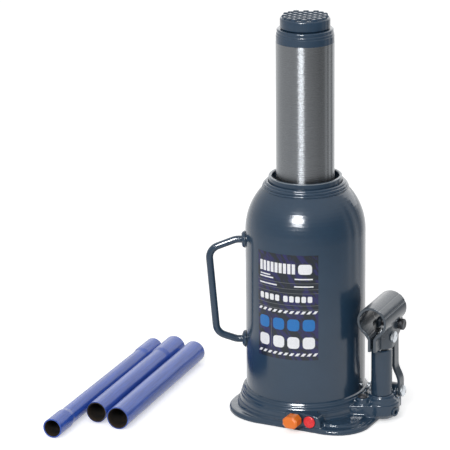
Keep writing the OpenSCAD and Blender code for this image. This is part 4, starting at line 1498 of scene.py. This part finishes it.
@dataclass(frozen=True)
class RolledTube:
    """The lever socket's tube, turned true, with the press's creases along it.

    Attributes:
        axis: A point on the tube's axis.
        tilt: How far the axis rises towards +Y, in degrees.
        radius: Radius of the tube.
        slack: How far off that radius skin still counts as the tube's.
        creases: Each crease's turn from the top towards +X, in degrees.
        width: Half a crease's width, in degrees.
        depth: A crease's depth.
    """

    axis: tuple[float, float, float] = (0.0795, 0.0, 0.1044)
    tilt: float = 3.0
    radius: float = 0.01475
    slack: float = 0.00025
    creases: tuple[float, ...] = (30.0, 66.0)
    width: float = 4.0
    depth: float = 0.00040

    def shape(self, piece: bpy.types.Object) -> None:
        """Moves the tube's skin to its radius and presses the creases in.

        Args:
            piece: The lever socket.
        """
        tilt, axis = math.radians(self.tilt), Vector(self.axis)
        across, up = Vector((1, 0, 0)), Vector((0, -math.sin(tilt), math.cos(tilt)))
        for vertex in piece.data.vertices:
            away = vertex.co - axis
            side, rise = away.dot(across), away.dot(up)
            reach = math.hypot(side, rise)
            hold = max(0.0, min(1.0, 2 - abs(reach - self.radius) / self.slack))
            if hold > 0:
                turn = math.degrees(math.atan2(side, rise))
                off = min(abs(turn - crease) for crease in self.creases)
                aim = self.radius - self.depth * max(0.0, 1 - off / self.width)
                vertex.co += (across * side + up * rise) * hold * (aim - reach) / reach


@dataclass(frozen=True)
class Cast:
    """How a CAD node is made into a softer piece, as cast, forged or moulded.

    Attributes:
        node: The CAD node.
        slot: Its record slot.
        grain: Size of the voxels that its copy is remade with.
        rounds: How often it is smoothed, which rounds its edges.
        wave: How deep its surface waves.
        wave_size: How long those waves are.
        filling: Bore, radius, foot and top of a ring that fills its hidden oil space, or None.
        paint: A finish of its own, or None for the slot's.
        tube: The tube that it is rolled round, or None.
    """

    node: str
    slot: Slot
    grain: float
    rounds: int = 4
    wave: float = 0.0
    wave_size: float = 0.01
    filling: tuple[float, float, float, float] | None = None
    paint: GlossPaint | None = None
    tube: RolledTube | None = None

    def build(self) -> bpy.types.Object:
        """Makes the softer copy, which stands for the node.

        Returns:
            The copy.
        """
        piece = welded_copy(self.node, f"{self.node}_softened")
        if self.filling is not None:
            bore, radius, foot, top = self.filling
            ring = revolved("filling", [(bore, foot), (radius, foot), (radius, top), (bore, top),
                                        (bore, foot)])
            piece = merged(piece.name, [piece, ring])
        piece.data.remesh_voxel_size = self.grain
        pick(piece)
        bpy.ops.object.voxel_remesh()
        apply_modifier(piece, "SMOOTH", factor=0.5, iterations=self.rounds)
        if self.wave > 0:
            ripple(piece, f"{self.node}_waves", self.wave_size, self.wave, 1.0)
        if self.tube is not None:
            self.tube.shape(piece)
        bpy.ops.object.shade_smooth()
        dress(piece, self.slot, self.paint.material() if self.paint else None)
        stand_in(piece, self.node)
        LOG.info("%s has %d faces", piece.name, len(piece.data.polygons))
        return piece


@dataclass
class FootRing:
    """The stepped ring of the base round the tank's foot, turned crisp over the softened casting.

    Attributes:
        bore: Radius inside it.
        gap: Lowest and highest x of the gap that it leaves inside the valve housing.
        gap_top: Height of that gap's top.
        outline: Its radius and height from its foot to its top.
        wave: Length and depth of its surface's waves.
    """

    bore: float = 0.0576
    gap: tuple[float, float] = (0.0095, 0.0430)
    gap_top: float = 0.0160
    outline: list = field(default_factory=lambda: [
        (0.0646, 0.0080), (0.0636, 0.0085), (0.0630, 0.0093), (0.06275, 0.0105), (0.0626, 0.0138),
        (0.0624, 0.0144), (0.0619, 0.0149), (0.0617, 0.0155), (0.0616, 0.0169), (0.0614, 0.0176),
        (0.0610, 0.0180), (0.0608, 0.0186), (0.0607, 0.0195), (0.0603, 0.0204), (0.0597, 0.0209),
        (0.0590, 0.02115),
    ])
    wave: tuple[float, float] = (0.02, 0.0003)

    def build(self) -> None:
        """Makes the ring."""
        foot, top = self.outline[0][1], self.outline[-1][1]
        piece = revolved("base_foot_ring", [(self.bore, foot), *self.outline, (self.bore, top),
                                            (self.bore, foot)])
        self.open_gap(piece)
        ripple(piece, "foot_ring_ripple", *self.wave)
        smooth(piece, 70)
        dress(piece, Slot.SLATE)
        carry(piece, "base_casting")
        LOG.info("the base has its ring")

    def open_gap(self, piece: bpy.types.Object) -> None:
        """Cuts the ring away where the valves' bores pass through the housing.

        Args:
            piece: The ring.
        """
        left, right = self.gap
        reach = self.outline[0][0]
        bpy.ops.mesh.primitive_cube_add(size=1, location=((left + right) / 2, -reach, self.gap_top / 2))
        cutter = bpy.context.object
        cutter.scale = (right - left, reach, self.gap_top)
        settle(cutter)
        apply_modifier(piece, "BOOLEAN", object=cutter, operation="DIFFERENCE", solver="EXACT")
        bpy.data.objects.remove(cutter)


@dataclass
class NeckWeld:
    """The runs of weld between the tank's dome and the pressure cylinder, and a thin ring of lighter paint on the
    cylinder's edge, a painted highlight.

    Attributes:
        runs: For each run its radius, its distance under the tank's top and its thickness.
        wave: Length and depth of their unevenness.
        edge: The highlight ring's distance inside the cylinder's corner, and its thickness.
    """

    runs: list = field(default_factory=lambda: [(0.0362, 0.0006, 0.0019), (0.0382, 0.0024, 0.0017),
                                                (0.0397, 0.0045, 0.0013)])
    wave: tuple[float, float] = (0.004, 0.0005)
    edge: tuple[float, float] = (0.00052, 0.00058)

    def build(self) -> None:
        """Makes the runs as one piece."""
        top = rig.box("reservoir_tank")[1][2]
        runs = [hoop(radius, thick, top - drop, 16) for radius, drop, thick in self.runs]
        piece = merged("neck_weld", runs)
        ripple(piece, "neck_weld_ripple", *self.wave)
        smooth(piece, 60)
        dress(piece, Slot.SLATE)
        carry(piece, "reservoir_tank")
        # This ring on the cylinder's edge is lighter paint, a painted highlight and not wear.
        corner, (inset, thick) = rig.box("pressure_cylinder")[1], self.edge
        rim = hoop(corner.x - inset, thick, corner.z - inset, 10)
        rim.name = "cylinder_worn_edge"
        smooth(rim, 60)
        dress(rim, Slot.DARK, RIM_HIGHLIGHT_PAINT.material())
        carry(rim, "pressure_cylinder")
        LOG.info("the neck has its weld and its worn edge")


@dataclass(frozen=True)
class Mark:
    """A plain mark of the label's print, or a row of them.

    Attributes:
        across: Its middle, as a share of the panel's width from its left edge.
        up: Its middle, as a share of the panel's height from its lower edge.
        width: Its width, or None for the panel's whole width.
        height: Its height, or None for the panel's whole height.
        lean: How far its upper edge is pushed to the side.
        corner: Radius of its corners.
        count: How many there are in the row.
        pitch: Their spacing.
    """

    across: float
    up: float
    width: float | None
    height: float | None
    lean: float = 0.0
    corner: float = 0.0
    count: int = 1
    pitch: float = 0.0


def tiles(up: float) -> list[Mark]:
    """Returns a row of four rounded tiles.

    Args:
        up: Their middle, as a share of the panel's height.
    """
    return [Mark(across, up, 0.0115, 0.0115, corner=0.0035) for across in (0.13, 0.385, 0.62, 0.855)]


@dataclass
class Label:
    """The printed panel on the tank, with plain marks in place of words and signs.

    Lengths run round the tank (across) and up it; each colour is a thin closed piece of its own.

    Attributes:
        radius: Radius of the tank.
        sheet: Thickness of the panel.
        ink: Thickness of the print over it.
        gap: Gap between the tank and the panel.
        slice_w: Width of the strips that a flat shape is cut into before it is wrapped.
        left: The panel's left edge, measured round the tank.
        right: Its right edge.
        low: Height of its lower edge.
        high: Height of its upper edge.
        rules: The thin grey rules.
        white: The white print: slanted dashes, plain blocks, thin bars and tiles.
        blue: The blue tiles.
    """

    radius: float = 0.057
    sheet: float = 0.00010
    ink: float = 0.00005
    gap: float = 0.00002
    slice_w: float = 0.0018
    left: float = 0.0
    right: float = 0.0
    low: float = 0.0
    high: float = 0.0
    rules: list = field(default_factory=lambda: [
        *(Mark(0.5, up, None, 0.0005) for up in (0.733, 0.678, 0.638, 0.523, 0.483)),
        Mark(0.26, 0.24, 0.0005, 0.029),
    ])
    white: list = field(default_factory=lambda: [
        *(Mark(0.035, up, 0.0030, 0.0028, lean=0.0024, count=11, pitch=0.0056) for up in (0.457, 0.052)),
        Mark(0.072, 0.868, 0.0031, 0.0098, corner=0.0004, count=9, pitch=0.0043),
        Mark(0.80, 0.868, 0.0130, 0.0098, corner=0.0030),
        Mark(0.085, 0.582, 0.0043, 0.0060, corner=0.0012, count=4, pitch=0.0058),
        Mark(0.50, 0.582, 0.0043, 0.0060, corner=0.0012, count=5, pitch=0.0058),
        *(Mark(across, up, width, 0.0012) for across, up, width in (
            (0.15, 0.790, 0.012), (0.17, 0.765, 0.016), (0.20, 0.704, 0.020), (0.78, 0.704, 0.018),
            (0.78, 0.775, 0.017))),
        *tiles(0.165),
    ])
    blue: list = field(default_factory=lambda: tiles(0.335))

    def build(self, sight: Sight) -> bpy.types.Object:
        """Places the panel by its two corners in the photograph, and prints it.

        Args:
            sight: The rays through the photograph.

        Returns:
            The panel's ground.
        """
        tank = frame["nodes"]["reservoir_tank"]
        upper, lower = sight.meet(tank, "label_upper_left"), sight.meet(tank, "label_lower_right")
        self.left, self.right = (math.atan2(spot.x, -spot.y) * self.radius for spot in (upper, lower))
        self.high, self.low = upper.z, lower.z
        ground = self.flat(Mark(0.5, 0.5, None, None))
        self.wrap(ground, "label_ground", 0.0, self.sheet, LABEL_GROUND.material())
        for name, marks, ink in (("label_rules", self.rules, "rule"),
                                 ("label_white_print", self.white, "white"),
                                 ("label_blue_print", self.blue, "blue")):
            piece = merged(name, [self.flat(mark) for mark in marks])
            self.wrap(piece, name, self.sheet, self.ink, LABEL_INKS[ink].material())
        LOG.info("the tank has its label")
        return ground

    def flat(self, mark: Mark) -> bpy.types.Object:
        """Makes a mark as a flat shape, not yet wrapped round the tank.

        Args:
            mark: The mark.

        Returns:
            The shape.
        """
        wide, tall = self.right - self.left, self.high - self.low
        across, up = self.left + wide * mark.across, self.low + tall * mark.up
        bpy.ops.mesh.primitive_plane_add(size=1, location=(across, 0, up), rotation=(math.pi / 2, 0, 0))
        piece = bpy.context.object
        piece.scale = (mark.width or wide, mark.height or tall, 1)
        settle(piece)
        for vertex in piece.data.vertices:
            vertex.co.x += mark.lean if vertex.co.z > up else 0.0
        if mark.corner > 0:
            with editing(piece):
                bpy.ops.mesh.bevel(affect="VERTICES", offset=mark.corner, segments=5)
        if mark.count > 1:
            apply_modifier(piece, "ARRAY", count=mark.count, use_relative_offset=False,
                           use_constant_offset=True, constant_offset_displace=(mark.pitch, 0, 0))
        return piece

    def wrap(self, piece: bpy.types.Object, name: str, lift: float, thick: float,
             material: bpy.types.Material) -> None:
        """Gives a flat shape its thickness and lays it round the tank.

        Args:
            piece: The flat shape.
            name: The piece's name.
            lift: How far it lies over the tank.
            thick: Its thickness.
            material: Its material.
        """
        piece.name = name
        with editing(piece):
            for cut in range(int((self.right - self.left) / self.slice_w)):
                bpy.ops.mesh.select_all(action="SELECT")
                bpy.ops.mesh.bisect(plane_co=(self.left + cut * self.slice_w, 0, 0), plane_no=(1, 0, 0))
            bpy.ops.mesh.select_all(action="SELECT")
            bpy.ops.mesh.remove_doubles(threshold=WELD / 2)
            bpy.ops.mesh.normals_make_consistent(inside=False)
        if piece.data.polygons[0].normal.y > 0:
            piece.data.flip_normals()
        apply_modifier(piece, "SOLIDIFY", thickness=thick, offset=1.0)
        for vertex in piece.data.vertices:
            turn, reach = vertex.co.x / self.radius, self.radius + lift + self.gap - vertex.co.y
            vertex.co.x, vertex.co.y = math.sin(turn) * reach, -math.cos(turn) * reach
        smooth(piece, 30)
        dress(piece, Slot.SLATE, material)
        carry(piece, "reservoir_tank")


@dataclass
class Jack:
    """The CAD nodes, and the softer copies of those that are cast, forged or moulded.

    Attributes:
        casts: The nodes that are remade.
    """

    casts: list = field(default_factory=lambda: [
        Cast("base_casting", Slot.SLATE, 0.00084, 11, 0.0004, 0.012, (0.0360, 0.0525, 0.005, 0.028)),
        Cast("handle_bosses", Slot.SLATE, 0.00035, 3, 0.0006, 0.005),
        Cast("lever_socket", Slot.DARK, 0.00045, 4, paint=SOCKET_PAINT, tube=RolledTube()),
        Cast("link_left", Slot.LINK, 0.00040, 3),
        Cast("link_right", Slot.LINK, 0.00040, 3),
        Cast("release_knob", Slot.ORANGE, 0.00030, 5),
        Cast("overload_cap", Slot.RED, 0.00030, 4),
    ])

    def build(self) -> None:
        """Dresses each CAD node whose slot has a finish here, and remakes the cast ones."""
        slots = {part["node"]: Slot(part["material_slot"]) for part in frame["record"]["subparts"]}
        for node, piece in frame["nodes"].items():
            if slots[node] in MATERIALS:
                dress(piece, slots[node])
                LOG.info("%s dressed in %s", node, slots[node].value)
        for cast in self.casts:
            cast.build()


@dataclass
class LeverSet:
    """The three lever sections on the floor.

    Attributes:
        paint: Their paint, linear.
        tubes: For each section its node's ending, mouth, yaw in degrees and the radius of its inside, which is
            darkened with painted shade.
    """

    paint: Colour = (0.028, 0.086, 0.42)
    tubes: list = field(default_factory=lambda: [
        ("outer", (-133.6, -133.7, 11.0), 5.3, 10.2),
        ("middle", (-159.1, -129.1, 11.2), 5.1, 9.9),
        ("inner", (-178.6, -178.9, 9.4), 4.5, 8.2),
    ])

    def build(self) -> None:
        """Dresses the three sections."""
        for ending, mouth, yaw, reach in self.tubes:
            place = tuple(part * MM for part in mouth)
            finish = TubePaint(f"lever_paint_{ending}", self.paint, place, math.radians(yaw), reach * MM)
            dress(frame["nodes"][f"lever_section_{ending}"], Slot.BLUE, finish.material())


# ---------------------------------------------------------------- the whole scene


def corners(pair: tuple[Vector, Vector]) -> list[list[float]]:
    """Returns a box's two corners as plain lists.

    Args:
        pair: The lowest and the highest corner.
    """
    return [[float(part) for part in corner] for corner in pair]


def main() -> None:
    """Builds the studio and the object, and writes the two reports."""
    logging.basicConfig(level=logging.INFO, format="%(message)s")
    cad_box = corners(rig.bounds())
    bpy.ops.object.select_all(action="DESELECT")
    bpy.context.scene.view_settings.view_transform = "Standard"
    sight = Sight(PhotoCamera().build())
    Studio().build()
    Jack().build()
    Ram().build()
    Saddle().build()
    LiftScrew().build()
    FootRing().build()
    NeckWeld().build()
    LeverSet().build()
    ground = Label().build(sight)
    nodes, made = frame["nodes"], bpy.data.objects
    sight.report({
        "knob": made["release_knob_softened"], "overload_cap": made["overload_cap_softened"],
        "plunger_pin_head": nodes["plunger_pin"], "socket_pivot_head": nodes["socket_pivot_pin"],
        "foot_pin_head": nodes["link_foot_pin"], "column_plug": nodes["delivery_plug"],
    }, ground, "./points.json")
    with open("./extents.json", "w") as report:
        json.dump({"cad": cad_box, "visual": corners(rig.bounds())}, report)


if __name__ == "__main__":
    main()
